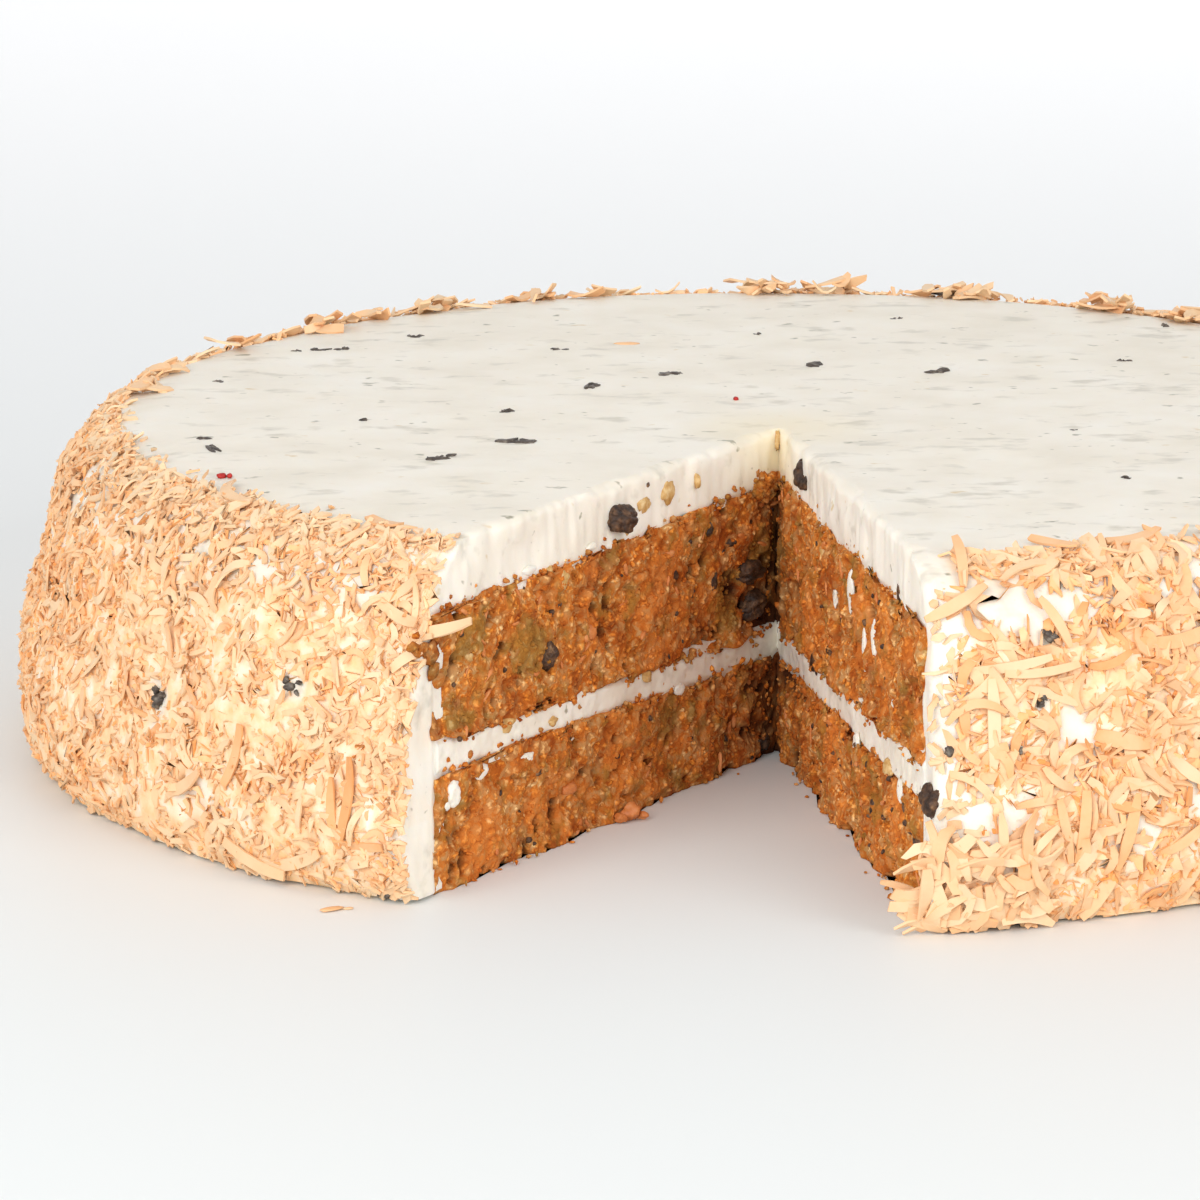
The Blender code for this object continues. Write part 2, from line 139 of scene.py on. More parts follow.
def addNode(tree, kind, inputs=None, output=0, stops=(), **settings):
    # An input that is a socket is linked, a hex colour is turned to linear, and any other value is set
    node = tree.nodes.new("ShaderNode" + kind)
    for key, value in settings.items():
        setattr(node, key, value)
    for key, value in (inputs or {}).items():
        if isinstance(value, bpy.types.NodeSocket):
            tree.links.new(value, node.inputs[key])
        else:
            node.inputs[key].default_value = toLinear(value) if isinstance(value, str) else value
    if stops:
        elements = node.color_ramp.elements
        while len(elements) < len(stops):
            elements.new(0.5)
        for element, (place, colour) in zip(elements, stops):
            element.position = place
            element.color = toLinear(colour)
    return node.outputs[output]


def newMaterial(name, finish):
    material = bpy.data.materials.new(name)
    material.use_nodes = True
    tree = material.node_tree
    for key, value in finish.items():
        tree.nodes["Principled BSDF"].inputs[key].default_value = value
    return material, tree, addNode(tree, "TexCoord", output="Object")


def mottle(tree, place, size, detail, roughness=0.55, stretch=(1, 1, 1)):  # an uneven pattern of a real size
    stretched = addNode(tree, "Mapping", {"Vector": place, "Scale": stretch})
    return addNode(tree, "TexNoise", {"Vector": stretched, "Scale": 1 / size, "Detail": detail,
                                      "Roughness": roughness})


def stain(tree, colour, tint, share, low, high, most=1.0, blend="MIX"):
    # Tints the colour as the share passes from low to high
    amount = addNode(tree, "MapRange", {"Value": share, "From Min": low, "From Max": high, "To Max": most})
    return addNode(tree, "Mix", {0: amount, 6: colour, 7: tint}, 2, data_type="RGBA", blend_type=blend)


def finishMaterial(tree, colour, height, depth, strength):  # links the colour and the fine relief
    shader = tree.nodes["Principled BSDF"]
    tree.links.new(colour, shader.inputs["Base Color"])
    relief = addNode(tree, "Bump", {"Height": height, "Distance": depth, "Strength": strength})
    tree.links.new(relief, shader.inputs["Normal"])


# Random values on a lattice, and the noises made from them, for whole arrays of points at once. Each use
# has its own seed, so that no two patterns match.
cellPrimes = (374761393, 668265263, 1440662683)
seedPrime = 97531
stirring = ((13, 1274126177), (15, 668265263))  # shifts and factors that scramble a whole number
wordMask, fractionMask = 0xFFFFFFFF, 0xFFFFFF


def latticeRandom(cells, seed):
    mixed = sum(cells[..., axis] * prime for axis, prime in enumerate(cellPrimes)) + seed * seedPrime
    mixed = mixed & wordMask
    for shift, factor in stirring:
        mixed = ((mixed ^ (mixed >> shift)) * factor) & wordMask
    return ((mixed ^ (mixed >> 16)) & fractionMask) / fractionMask


def smoothNoise(points, size, seed):
    scaled = points / size
    cells = np.floor(scaled).astype(np.int64)
    inside = scaled - cells
    inside = inside ** 3 * (inside * (inside * 6 - 15) + 10)
    total = np.zeros(len(points))
    for corner in range(8):
        step = np.array([corner & 1, corner >> 1 & 1, corner >> 2])
        weight = np.prod(np.where(step, inside, 1 - inside), axis=1)
        total += weight * (latticeRandom(cells + step, seed) * 2 - 1)
    return total


def waves(points, layers):  # noises added up: height and size in mm, seed, and any stretch
    total = 0
    for height, size, seed, *stretch in layers:
        total = total + height * mm * smoothNoise(points * (stretch[0] if stretch else 1), size * mm, seed)
    return total


def nearestGrain(points, size, seed):  # distance to the nearest grain's middle, and its random value
    scaled = points / size
    cells = np.floor(scaled).astype(np.int64)
    best = np.full(len(points), 9.0)
    value = np.zeros(len(points))
    for step in np.ndindex(3, 3, 3):
        cell = cells + np.array(step) - 1
        middle = cell + np.stack([latticeRandom(cell, seed + k) for k in (1, 2, 3)], axis=1)
        distance = np.linalg.norm(scaled - middle, axis=1)
        nearer = distance < best
        best = np.where(nearer, distance, best)
        value = np.where(nearer, latticeRandom(cell, seed + 4), value)
    return best, value


def makeMesh(name, points, quads, material, triangles=None):
    mesh = bpy.data.meshes.new(name)
    faces = [quads] if triangles is None else [quads, triangles]
    loops = np.concatenate([part.reshape(-1) for part in faces])
    sizes = np.concatenate([np.full(len(part), part.shape[1]) for part in faces])
    mesh.vertices.add(len(points))
    mesh.vertices.foreach_set("co", np.asarray(points, np.float32).reshape(-1))
    mesh.loops.add(len(loops))
    mesh.loops.foreach_set("vertex_index", loops.astype(np.int32))
    mesh.polygons.add(len(sizes))
    starts = np.concatenate([[0], np.cumsum(sizes)[:-1]])
    mesh.polygons.foreach_set("loop_start", starts.astype(np.int32))
    mesh.polygons.foreach_set("use_smooth", np.ones(len(sizes), bool))
    mesh.update(calc_edges=True)
    mesh.validate()
    mesh.materials.append(material)
    piece = bpy.data.objects.new(name, mesh)
    bpy.context.scene.collection.objects.link(piece)
    return piece


def setAttribute(piece, name, values):
    layer = piece.data.attributes.new(name, "FLOAT", "POINT")
    layer.data.foreach_set("value", np.asarray(values, np.float32))


def finishPiece(piece, slotName, *nodes):
    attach(piece, "root")
    if nodes:
        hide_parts(*nodes)


def makeTube(name, grid, ends, material, clockwise=False):
    # A closed mesh from rows of points round an axis, with a point in the middle of each end
    rows, columns = grid.shape[:2]
    row = np.arange(rows - 1)[:, None] * columns
    step = np.arange(columns)
    after = (step + 1) % columns
    corners = (row + step, row + after, row + columns + after, row + columns + step)
    quads = np.stack([corner.reshape(-1) for corner in corners], axis=1)
    last = (rows - 1) * columns
    foot = np.full(columns, rows * columns)
    fans = np.concatenate([
        np.stack([after, step, foot], axis=1),
        np.stack([last + step, last + after, foot + 1], axis=1),
    ])
    if clockwise:
        quads, fans = quads[:, ::-1], fans[:, [1, 0, 2]]
    return makeMesh(name, np.concatenate([grid.reshape(-1, 3), ends]), quads, material, triangles=fans)


bothSides = (("left", "right"), ("right", "left"))  # each cut, and the other one


def cutDirection(side):
    bearing = cake["bearings"][side]
    return np.array([math.sin(bearing), -math.cos(bearing)])


def cutNormal(side):  # points out of the crumb, into the missing slice
    direction = cutDirection(side)
    outward = np.array([direction[1], -direction[0]])
    return outward if side == "right" else -outward


def layerHeight(face, x, y):
    middle, rim, rise = cake[face]
    across = np.hypot(x, y) / cake["crumbRadius"]
    size = cake["waveLength"]
    place = middle * cake["waveStep"] / size
    wave = np.array([2 * noise.noise(Vector((a / size, b / size, place))) for a, b in zip(x, y)])
    return middle + (rim - middle) * across ** 2 + rise * x / cake["crumbRadius"] + cake["waveHeight"] * wave


def sliceDepth(points, side):  # how far a point lies on the slice's side of a knife cut
    return (points[:, :2] - cake["apex"]) @ cutNormal(side)


def cutHeading(side):  # the turn that lays a piece along the cut
    direction = cutDirection(side)
    return math.atan2(direction[1], direction[0])


def insideSlice(points, margin):
    return (sliceDepth(points, "left") > margin) & (sliceDepth(points, "right") > margin)


# Camera: the photograph's low view from in front, a little above the top
camera = {"target": (-29.7 * mm, 0.0, 20.6 * mm), "elevation": 13.04, "distance": 1.0, "lens": 191.6,
          "sensor": 36.0, "nearest": 0.05, "farthest": 20.0}


def makeCamera():
    data = bpy.data.cameras.new("camera")
    data.lens = camera["lens"]
    data.sensor_width = camera["sensor"]
    data.clip_start, data.clip_end = camera["nearest"], camera["farthest"]
    body = bpy.data.objects.new("camera", data)
    bpy.context.scene.collection.objects.link(body)
    tilt = math.radians(camera["elevation"])
    ahead = Vector((0, math.cos(tilt), -math.sin(tilt)))
    body.location = Vector(camera["target"]) - ahead * camera["distance"]
    body.rotation_euler = (math.pi / 2 - tilt, 0, 0)
    bpy.context.scene.camera = body
    print("camera made")


# Studio: a pale sweep, a broad soft light from the front left, a weaker one from the front right, and one
# behind the object that lights only the sweep
studio = {
    "floorColour": "#E9ECEA", "farPaintedLight": "#FFFFFF", "floorSize": 3.0,
    "sweepStart": 0.9, "sweepRadius": 0.7, "sweepSteps": 12, "sweepHeight": 2.5,
    "worldColour": "#FBFBFE", "worldStrength": 0.67,
    "lights": [  # place, point that it faces, width, depth, watts
        ((-0.55, -1.1, 0.55), (-0.02, -0.05, 0.03), 1.0, 0.7, 10.5),
        ((0.8, -1.0, 0.5), (-0.02, -0.05, 0.03), 0.8, 0.6, 5.9),
        ((0.3, 0.68, 0.88), (0.3, 1.5, 0.38), 1.6, 0.5, 3.7),
    ],
}


def makeStudio():
    material, tree, place = newMaterial("paleStudioFloor", {"Roughness": 0.55})
    # painted light: the floor turns from pale grey near the object to white far behind it, as if lit more at
    # the back
    depth = addNode(tree, "SeparateXYZ", {"Vector": place}, "Y")
    colour = stain(tree, studio["floorColour"], studio["farPaintedLight"], depth, 0.0, 1.0)
    tree.links.new(colour, tree.nodes["Principled BSDF"].inputs["Base Color"])
    half, start, radius = studio["floorSize"], studio["sweepStart"], studio["sweepRadius"]
    steps = studio["sweepSteps"]
    turns = [math.pi / 2 * step / steps for step in range(1, steps + 1)]
    line = [(-half, 0.0), (start, 0.0)]
    line += [(start + radius * math.sin(turn), radius * (1 - math.cos(turn))) for turn in turns]
    line.append((start + radius, studio["sweepHeight"]))
    points = [(x, y, z) for y, z in line for x in (-half, half)]
    quads = np.arange(len(line) - 1)[:, None] * 2 + np.array([[0, 1, 3, 2]])
    makeMesh("studioSweep", np.array(points), quads, material)
    world = bpy.data.worlds.new("studioAir")
    world.use_nodes = True
    background = world.node_tree.nodes["Background"]
    background.inputs["Color"].default_value = toLinear(studio["worldColour"])
    background.inputs["Strength"].default_value = studio["worldStrength"]
    bpy.context.scene.world = world
    for number, (place, faces, width, depth, watts) in enumerate(studio["lights"]):
        data = bpy.data.lights.new(f"softbox{number}", "AREA")
        data.shape = "RECTANGLE"
        data.size, data.size_y = width, depth
        data.energy = watts
        lamp = bpy.data.objects.new(f"softbox{number}", data)
        bpy.context.scene.collection.objects.link(lamp)
        lamp.location = place
        lamp.rotation_euler = (Vector(faces) - Vector(place)).to_track_quat("-Z", "Y").to_euler()
    bpy.context.scene.view_settings.view_transform = "Standard"
    print("studio made")


# Icing: cream cheese, butter and sugar, beaten and spread with a palette knife. It is opaque but lets
# light in a little way, so its edges glow, and fat gives it a soft sheen.
icing = {
    "line": [  # radius and height, from the foot up to the flat top
        (116.8, 0.5), (118.8, 4.5), (119.6, 11.0), (118.9, 17.5), (117.5, 24.0), (116.0, 30.5),
        (114.3, 37.0), (112.2, 43.0), (109.0, 47.6), (104.5, 50.4), (98.0, 51.3),
    ],
    "turns": 720, "sideRows": 64, "topRings": 40,
    "bump": 0.9 * mm, "bumpSize": 17 * mm, "shoulder": 10 * mm,
    "swell": 1.6 * mm, "swellWidth": math.radians(18),
    "coreInset": 1.3 * mm,  # the hollow is this much smaller than the crumb, so that no crack shows
    "leftOverlap": 1.7 * mm,  # how far the crumb runs out over the icing at the left cut
    "hollowTurns": 90, "below": 5 * mm,
    "cutPitch": 0.45 * mm, "cutReach": 128 * mm, "edgeRound": 1.4 * mm, "cornerRound": 2.2 * mm,
    "cream": [(0.3, "#EFE8D8"), (0.5, "#F6F0E2"), (0.72, "#FAF6EB")],
    "flecks": [  # size, detail, stretch, where it starts and is full, tint
        (4.5 * mm, 3, (0.6, 1, 1), 0.58, 0.72, "#DBD5C6"),
        (2.4 * mm, 2, (0.7, 1, 1), 0.69, 0.76, "#A8A390"),
        (3.4 * mm, 2, (0.7, 1, 1.2), 0.71, 0.80, "#DDC79C"),
    ],
    # the second colour is painted shade: a faint grey multiplied over faces that point up, so the flat top
    # reads darker than the sides
    "butter": "#F4DFA6", "paintedTopShade": "#F5F3F0",
    # unevenness, for waves: the palette knife's drag on the top, dents in the side, and the wiped cuts
    "smear": ((0.22, 16, 5, (0.6, 1, 1)), (0.07, 3.5, 6, (0.35, 1, 1))),
    "dents": ((0.35, 6, 8),), "coatDents": ((0.4, 3, 9),), "coatStand": 0.45 * mm, "topSink": 0.1 * mm,
    "wiped": ((0.35, 5, 21), (0.18, 1.6, 22, (1, 1, 0.35))), "wipedEdge": ((0.45, 3.5, 23, (1, 1, 0)),),
    "behindCrumb": 0.45 * mm, "behindWidth": 0.9 * mm,
    # peach tint for the icing under the coconut: coconut dust, and painted warm shade for the light that
    # bounces golden between the shreds
    "coconutDustAndWarmShade": [(0.3, "#FDC48C"), (0.5, "#FDD7AA"), (0.68, "#FBE8D0")],
}


def smoothLine(points, count):  # a smooth curve through the points, and the length along it
    points = np.array(points, float) * mm
    ends = np.concatenate([2 * points[:1] - points[1:2], points, 2 * points[-1:] - points[-2:-1]])
    curve = []
    for i in range(1, len(ends) - 2):
        a, b, c, d = ends[i - 1:i + 3]
        t = np.linspace(0, 1, 24, endpoint=False)[:, None]
        curve.append(0.5 * (2 * b + (c - a) * t + (2 * a - 5 * b + 4 * c - d) * t ** 2
                            + (3 * b - a - 3 * c + d) * t ** 3))
    curve = np.concatenate([*curve, points[-1:]])
    length = np.concatenate([[0], np.cumsum(np.linalg.norm(np.diff(curve, axis=0), axis=1))])
    even = np.linspace(0, length[-1], count)
    return np.stack([np.interp(even, length, curve[:, k]) for k in (0, 1)], axis=1), even


sideLine, sideLength = smoothLine(icing["line"], icing["sideRows"])


def icingReach(radius, height, turn):  # the coat's unevenness, as the solid has it
    size = icing["bumpSize"]
    place = Vector((radius * math.cos(turn), radius * math.sin(turn), height)) / size
    fade = min(1.0, (cake["icingTop"] - height) / icing["shoulder"])
    fromCut = math.remainder(turn + math.pi / 2 - cake["bearings"]["left"], 2 * math.pi)
    swell = icing["swell"] * math.exp(-((fromCut / icing["swellWidth"]) ** 2))
    swell *= math.sin(math.pi * height / cake["icingTop"]) ** 2
    return radius + 2 * icing["bump"] * noise.noise(place) * fade + swell


turnAngles = np.arange(icing["turns"]) * 2 * math.pi / icing["turns"]
reachGrid = np.array([[icingReach(r, z, turn) for turn in turnAngles] for r, z in sideLine])


def surfaceAt(turn, along):
    # A point of the icing's outer side and its outward direction. Past the line's end it runs on over
    # the flat top.
    count = icing["turns"]
    spin = np.mod(turn, 2 * math.pi) / (2 * math.pi) * count
    low = np.floor(spin).astype(int) % count
    part = spin - np.floor(spin)
    row = np.clip(along / sideLength[-1] * (len(sideLength) - 1), 0, len(sideLength) - 1.001)
    under = row.astype(int)
    rise = row - under

    def pick(rows):
        return reachGrid[rows, low] * (1 - part) + reachGrid[rows, (low + 1) % count] * part

    radius = pick(under) * (1 - rise) + pick(under + 1) * rise
    height = np.interp(along, sideLength, sideLine[:, 1])
    past = np.maximum(0.0, along - sideLength[-1])
    radius = radius - past
    slope = sideLine[np.minimum(under + 1, len(sideLine) - 1)] - sideLine[under]
    slope /= np.linalg.norm(slope, axis=1)[:, None]
    slope = np.where(past[:, None] > 0, np.array([-1.0, 0.0]), slope)
    cosTurn, sinTurn = np.cos(turn), np.sin(turn)
    points = np.stack([radius * cosTurn, radius * sinTurn, height], axis=1)
    normals = np.stack([slope[:, 1] * cosTurn, slope[:, 1] * sinTurn, -slope[:, 0]], axis=1)
    upward = np.stack([slope[:, 0] * cosTurn, slope[:, 0] * sinTurn, slope[:, 1]], axis=1)
    around = np.stack([-sinTurn, cosTurn, np.zeros(len(points))], axis=1)
    return points, normals, upward, around


def icingMaterial():
    material, tree, place = newMaterial("creamCheeseIcing", {
        "Roughness": 0.5, "IOR": 1.45, "Subsurface Weight": 0.25,
        "Subsurface Radius": (1.0, 0.75, 0.5), "Subsurface Scale": 1.6 * mm,
    })
    colour = addNode(tree, "ValToRGB", {"Fac": mottle(tree, place, 14 * mm, 4)}, stops=icing["cream"])
    for size, detail, stretch, low, high, tint in icing["flecks"]:
        colour = stain(tree, colour, tint, mottle(tree, place, size, detail, stretch=stretch), low, high)
    point = (*[float(value) for value in cake["apex"]], 48 * mm)
    away = addNode(tree, "VectorMath", {0: place, 1: point}, "Value", operation="DISTANCE")
    colour = stain(tree, colour, icing["butter"], away, 17 * mm, -22 * mm)  # butter shows yellow at the point
    # painted shade: faces that point up are darkened a little, as the lamps light the top less than the sides
    normal = addNode(tree, "NewGeometry", output="Normal")
    upward = addNode(tree, "SeparateXYZ", {"Vector": normal}, "Z")
    colour = stain(tree, colour, icing["paintedTopShade"], upward, 0.3, 0.9, blend="MULTIPLY")
    # where coconut covers it the icing turns peach: coconut dust, and painted warm shade in the gaps between
    # the shreds
    coat = addNode(tree, "Attribute", output="Fac", attribute_name="coat")
    dustAndWarmShade = addNode(tree, "ValToRGB", {"Fac": mottle(tree, place, 3.2 * mm, 4)}, stops=icing["coconutDustAndWarmShade"])
    colour = addNode(tree, "Mix", {0: coat, 6: colour, 7: dustAndWarmShade}, 2, data_type="RGBA")
    finishMaterial(tree, colour, mottle(tree, place, 1.6 * mm, 4), 0.10 * mm, 0.5)
    return material


def makeIcingBody(material):  # the whole coat as one block: foot, side, shoulder and flat top
    turns = icing["turns"]
    topRadii = np.linspace(sideLine[-1, 0], 0, icing["topRings"] + 1)[1:-1]
    radii = np.concatenate([reachGrid, np.repeat(topRadii[:, None], turns, axis=1)])
    heights = np.concatenate([np.repeat(sideLine[:, 1:2], turns, axis=1),
                              np.full((len(topRadii), turns), cake["icingTop"])])
    grid = np.stack([radii * np.cos(turnAngles), radii * np.sin(turnAngles), heights], axis=-1)
    points = grid.reshape(-1, 3)
    onTop = np.clip((points[:, 2] - 47 * mm) / (3 * mm), 0, 1)
    points[:, 2] += waves(points, icing["smear"]) * onTop - icing["topSink"] * onTop
    dents = waves(points, icing["dents"]) * (1 - onTop)
    dents += (icing["coatStand"] + waves(points, icing["coatDents"])) * coatShare(points)
    outward = points[:, :2] / np.maximum(np.linalg.norm(points[:, :2], axis=1), 1e-6)[:, None]
    points[:, :2] += outward * dents[:, None]
    ends = np.array([[0, 0, sideLine[0, 1]], [0, 0, cake["icingTop"] - icing["topSink"]]])
    return makeTube("icingCoat", points.reshape(grid.shape), ends, material)


def makeHollow(material):  # what the crumb fills, a little smaller than the crumb
    inset, below, count = icing["coreInset"], icing["below"], icing["hollowTurns"]
    turn = np.arange(count) * 2 * math.pi / count
    radius = cake["crumbRadius"] - inset
    rings = []
    for share, top in ((1.0, False), (1.0, True), (0.75, True), (0.5, True), (0.25, True)):
        x, y = radius * share * np.cos(turn), radius * share * np.sin(turn)
        z = layerHeight("crumbTop", x, y) - inset if top else np.full(count, -below)
        rings.append(np.stack([x, y, z], axis=1))
    zero = np.zeros(1)
    ends = np.array([[0, 0, -below], [0, 0, float(layerHeight("crumbTop", zero, zero)[0]) - inset]])
    return makeTube("hollow", np.stack(rings), ends, material)


def icingCutRelief(side, along, height):  # how far the wiped icing stands out of the knife's plane
    points = cutPoints(side, along, height)
    x, y = points[:, 0], points[:, 1]
    relief = waves(points, icing["wiped"])
    height = height + waves(points, icing["wipedEdge"])
    radius = np.hypot(x, y)
    overlap = icing["leftOverlap"] if side == "left" else 0
    outside = np.maximum(radius - cake["crumbRadius"] - overlap, height - layerHeight("crumbTop", x, y))
    relief -= icing["behindCrumb"] * np.clip(0.4 - outside / icing["behindWidth"], 0, 1)
    bend = icing["edgeRound"]
    overTop = np.clip(height - (cake["icingTop"] - bend), 0, None)
    relief -= bend - np.sqrt(np.maximum(bend ** 2 - np.minimum(overTop, bend) ** 2, 0))
    relief -= np.clip(height - cake["icingTop"], 0, None)
    turn = math.atan2(*(cake["apex"] + 117 * mm * cutDirection(side))[::-1]) % (2 * math.pi)
    column = int(round(turn / (2 * math.pi) * icing["turns"])) % icing["turns"]
    outer = np.interp(height, sideLine[:, 1], reachGrid[:, column])
    bend = icing["cornerRound"]
    pastCorner = np.clip(radius - (outer - bend), 0, bend * 1.2)
    relief -= 0.8 * (bend - np.sqrt(np.maximum(bend ** 2 - np.minimum(pastCorner, bend * 0.999) ** 2, 0)))
    return relief * np.clip(along / (2 * mm), 0, 1)


def makeSliceBlock(material):  # the missing slice, with the cuts' relief on its two long sides
    pitch, reach = icing["cutPitch"], icing["cutReach"]
    steps = int(reach / pitch)
    heights = np.arange(-4 * mm, cake["icingTop"] + 8 * mm, pitch)
    faces = []
    for side, shares in (("left", np.arange(steps, 0, -1)), ("right", np.arange(steps + 1))):
        along = reach * shares / steps
        flatAlong = np.tile(along, len(heights))
        points = cutPoints(side, flatAlong, np.repeat(heights, len(along)))
        relief = icingCutRelief(side, flatAlong, points[:, 2])
        points[:, :2] += relief[:, None] * cutNormal(side)
        faces.append(points.reshape(len(heights), len(along), 3))
    mouth = cake["apex"] + reach * 0.5 * (cutDirection("left") + cutDirection("right")) * 0.5
    ends = np.array([[*mouth, heights[0]], [*mouth, heights[-1]]])
    return makeTube("sliceBlock", np.concatenate(faces, axis=1), ends, material, clockwise=True)


def cutAway(piece, *tools):
    for tool in tools:
        modifier = piece.modifiers.new("cut", "BOOLEAN")
        modifier.operation = "DIFFERENCE"
        modifier.solver = "MANIFOLD"
        modifier.object = tool
    graph = bpy.context.evaluated_depsgraph_get()
    mesh = bpy.data.meshes.new_from_object(piece.evaluated_get(graph))
    piece.modifiers.clear()
    piece.data = mesh
    for tool in tools:
        bpy.data.objects.remove(tool)


def thinCoat(points):  # where the coconut is thin and the icing shows: patches, mostly at the front right
    turn = np.degrees(np.arctan2(points[:, 1], points[:, 0])) % 360
    level = np.interp(turn, (0, 170, 235, 262, 276, 292, 320, 360),
                      (0.42, 0.62, 0.64, 0.52, 0.28, 0.36, 0.44, 0.42))
    patches = smoothNoise(points, 9 * mm, 97) + 0.5 * smoothNoise(points, 3 * mm, 98)
    thin = np.clip((patches - level) / 0.16, 0, 1) * np.clip((points[:, 2] - 4 * mm) / (8 * mm), 0, 1)
    rows = np.array(coatSpots)
    middles = surfaceAt(np.radians(rows[:, 0]), rows[:, 1] * mm)[0]
    for middle, size in zip(middles, rows[:, 2]):
        distance = np.linalg.norm(points - middle, axis=1)
        thin = np.maximum(thin, np.clip(1.6 - distance / ((0.5 + 0.75 * size) * mm), 0, 1))
    return thin


def bareDepth(points, side):  # how wide the bare strip beside a cut is, at each point's height
    return np.interp(points[:, 2] / mm, coconut["bareHeights"], coconut["bareStrip"][side]) * mm


def coatShare(points):  # 1 where coconut covers the icing, 0 on the top and beside the cuts
    radius = np.hypot(points[:, 0], points[:, 1])
    slope = np.interp(points[:, 2], (46 * mm, 51 * mm), (0.0, 1.0))
    share = np.clip((radius - 112 * mm) / (2 * mm), 0, 1) * (1 - slope)
    share += slope * np.clip((radius - 103.5 * mm) / (2 * mm), 0, 1)
    for side, other in bothSides:
        bare = np.maximum(bareDepth(points, side), 0)
        beside = np.clip((-sliceDepth(points, side) - bare) / (2.5 * mm), 0, 1)
        share = np.where(sliceDepth(points, other) > 0, np.minimum(share, beside), share)
    return share * (1 - 0.85 * thinCoat(points))


def makeIcing():
    material = icingMaterial()
    body = makeIcingBody(material)
    cutAway(body, makeHollow(material), makeSliceBlock(material))
    body.data.set_sharp_from_angle(angle=math.radians(50))
    points = np.zeros(len(body.data.vertices) * 3, np.float32)
    body.data.vertices.foreach_get("co", points)
    setAttribute(body, "coat", coatShare(points.reshape(-1, 3).astype(float)))
    finishPiece(body, "icing", "icing")
    print("icing made,", len(body.data.polygons), "faces")
    return body


# Crumb: carrot sponge, baked and then torn by the knife, so it is grainy, open and matte, with orange
# shreds of carrot, dark bits of raisin and pale bits of walnut in it.
crumb = {
    "pitch": 0.36 * mm, "broad": 0.9 * mm, "tear": 0.65 * mm,
    "clump": 0.95 * mm, "clumpSize": 2.9 * mm, "grain": 0.5 * mm, "grainSize": 1.25 * mm,
    "pore": 2.0 * mm, "poreSize": 3.2 * mm, "ragged": 0.85 * mm, "kernel": (3.7 * mm, 25 * mm),
    "looseGrains": 4200, "looseSize": (0.3, 0.95), "edgeGrains": 700, "caughtGrains": 60,
    "endWobble": ((1.0, 6, 51), (0.4, 2, 52)), "endLean": 1.2 * mm,
    "calmPoint": 5 * mm,  # the relief fades over this distance from where the cuts meet
    # the next reach is how far from where the cuts meet the crumb is painted darker, as shade in the notch's
    # inner corner
    "apexShadeReach": 19 * mm, "hiddenColumns": 72,
    # patches where more carrot, or more peel and oil, shows: side, distance along the cut, height, reach
    "carrotPatches": [
        ("left", 65, 7, 9), ("left", 36, 33, 9), ("left", 84, 5, 8), ("left", 44, 8, 8), ("left", 57, 31, 5),
        ("right", 59, 36, 9), ("right", 74, 31, 8), ("right", 40, 12, 9), ("right", 22, 26, 8),
        ("right", 80, 9, 7),
    ],
    "olivePatches": [
        ("left", 71, 31, 6), ("left", 24, 39, 5), ("left", 6, 35, 5), ("left", 31, 12, 5),
        ("left", 88, 36, 5), ("left", 15, 27, 6), ("right", 68, 9, 4), ("right", 48, 36, 3),
        ("left", 92, 25, 4),
    ],
    "grains": [(0.10, "#C26F28"), (0.35, "#E9983B"), (0.55, "#FAAB4D"), (0.75, "#FFC373"), (0.95, "#FFE0A9")],
    # painted shade: the edges of each grain cell, where grains meet, darken towards warm brown
    "grainGapShade": [(0.25, "#FFFFFF"), (0.55, "#F8E8D4"), (0.85, "#B38A62")],
    "bakedPatches": [(0.34, "#BF9068"), (0.47, "#F4DEC6"), (0.6, "#FFFFFF")],
    # painted shade: dark brown mixed in where the crumb lies deep and near where the cuts meet; the crust
    # flap takes it as its own darker colour
    "pitShadeAndCrust": "#4C260E",
    "stains": [  # mark, size, where it starts, tint and how strong it gets
        ("carrot", 6.0 * mm, 0.51, "#E68839", 0.45), ("olive", 5.0 * mm, 0.52, "#86692A", 0.62),
    ],
}


def patchShare(points, patches):
    share = np.zeros(len(points))
    uneven = 0.35 * smoothNoise(points, 3 * mm, 95) + 0.2 * smoothNoise(points, 1.3 * mm, 96)
    for side, along, height, reach in crumb[patches]:
        middle = cutPoints(side, [along * mm], [height * mm])
        distance = np.linalg.norm(points - middle, axis=1) / (reach * mm)
        share = np.maximum(share, np.clip((1.0 - distance + uneven) * 2.2, 0, 1))
    return share


def crumbRelief(points, taper):  # stand, a tone for each grain, and how deep the point lies
    stand = crumb["broad"] * smoothNoise(points, 7 * mm, 31)
    stand += crumb["tear"] * smoothNoise(points, 2.4 * mm, 32)
    distance, clumpTone = nearestGrain(points + 0.5 * mm * warp(points, 3 * mm, 80), crumb["clumpSize"], 36)
    stand += crumb["clump"] * (0.45 - distance ** 2) * (0.4 + clumpTone)
    distance, grainTone = nearestGrain(points, crumb["grainSize"], 33)
    stand += crumb["grain"] * (0.45 - distance ** 2) * (0.4 + 1.2 * grainTone)
    warped = points + 1.3 * mm * warp(points, 2.4 * mm, 84)
    distance, value = nearestGrain(warped, crumb["poreSize"], 40)
    deep = np.clip((0.42 - distance) / 0.22, 0, 1) * (value > 0.45)
    stand -= crumb["pore"] * deep * (0.3 + value)
    stand = np.clip(stand, -2.2 * mm, 1.3 * mm)
    depth = np.clip((0.1 * mm - stand) / (1.7 * mm), 0, 1)
    return stand * taper, 0.62 * grainTone + 0.38 * clumpTone, depth


def warp(points, size, seed):
    return np.stack([smoothNoise(points, size, seed + k) for k in range(3)], axis=1)


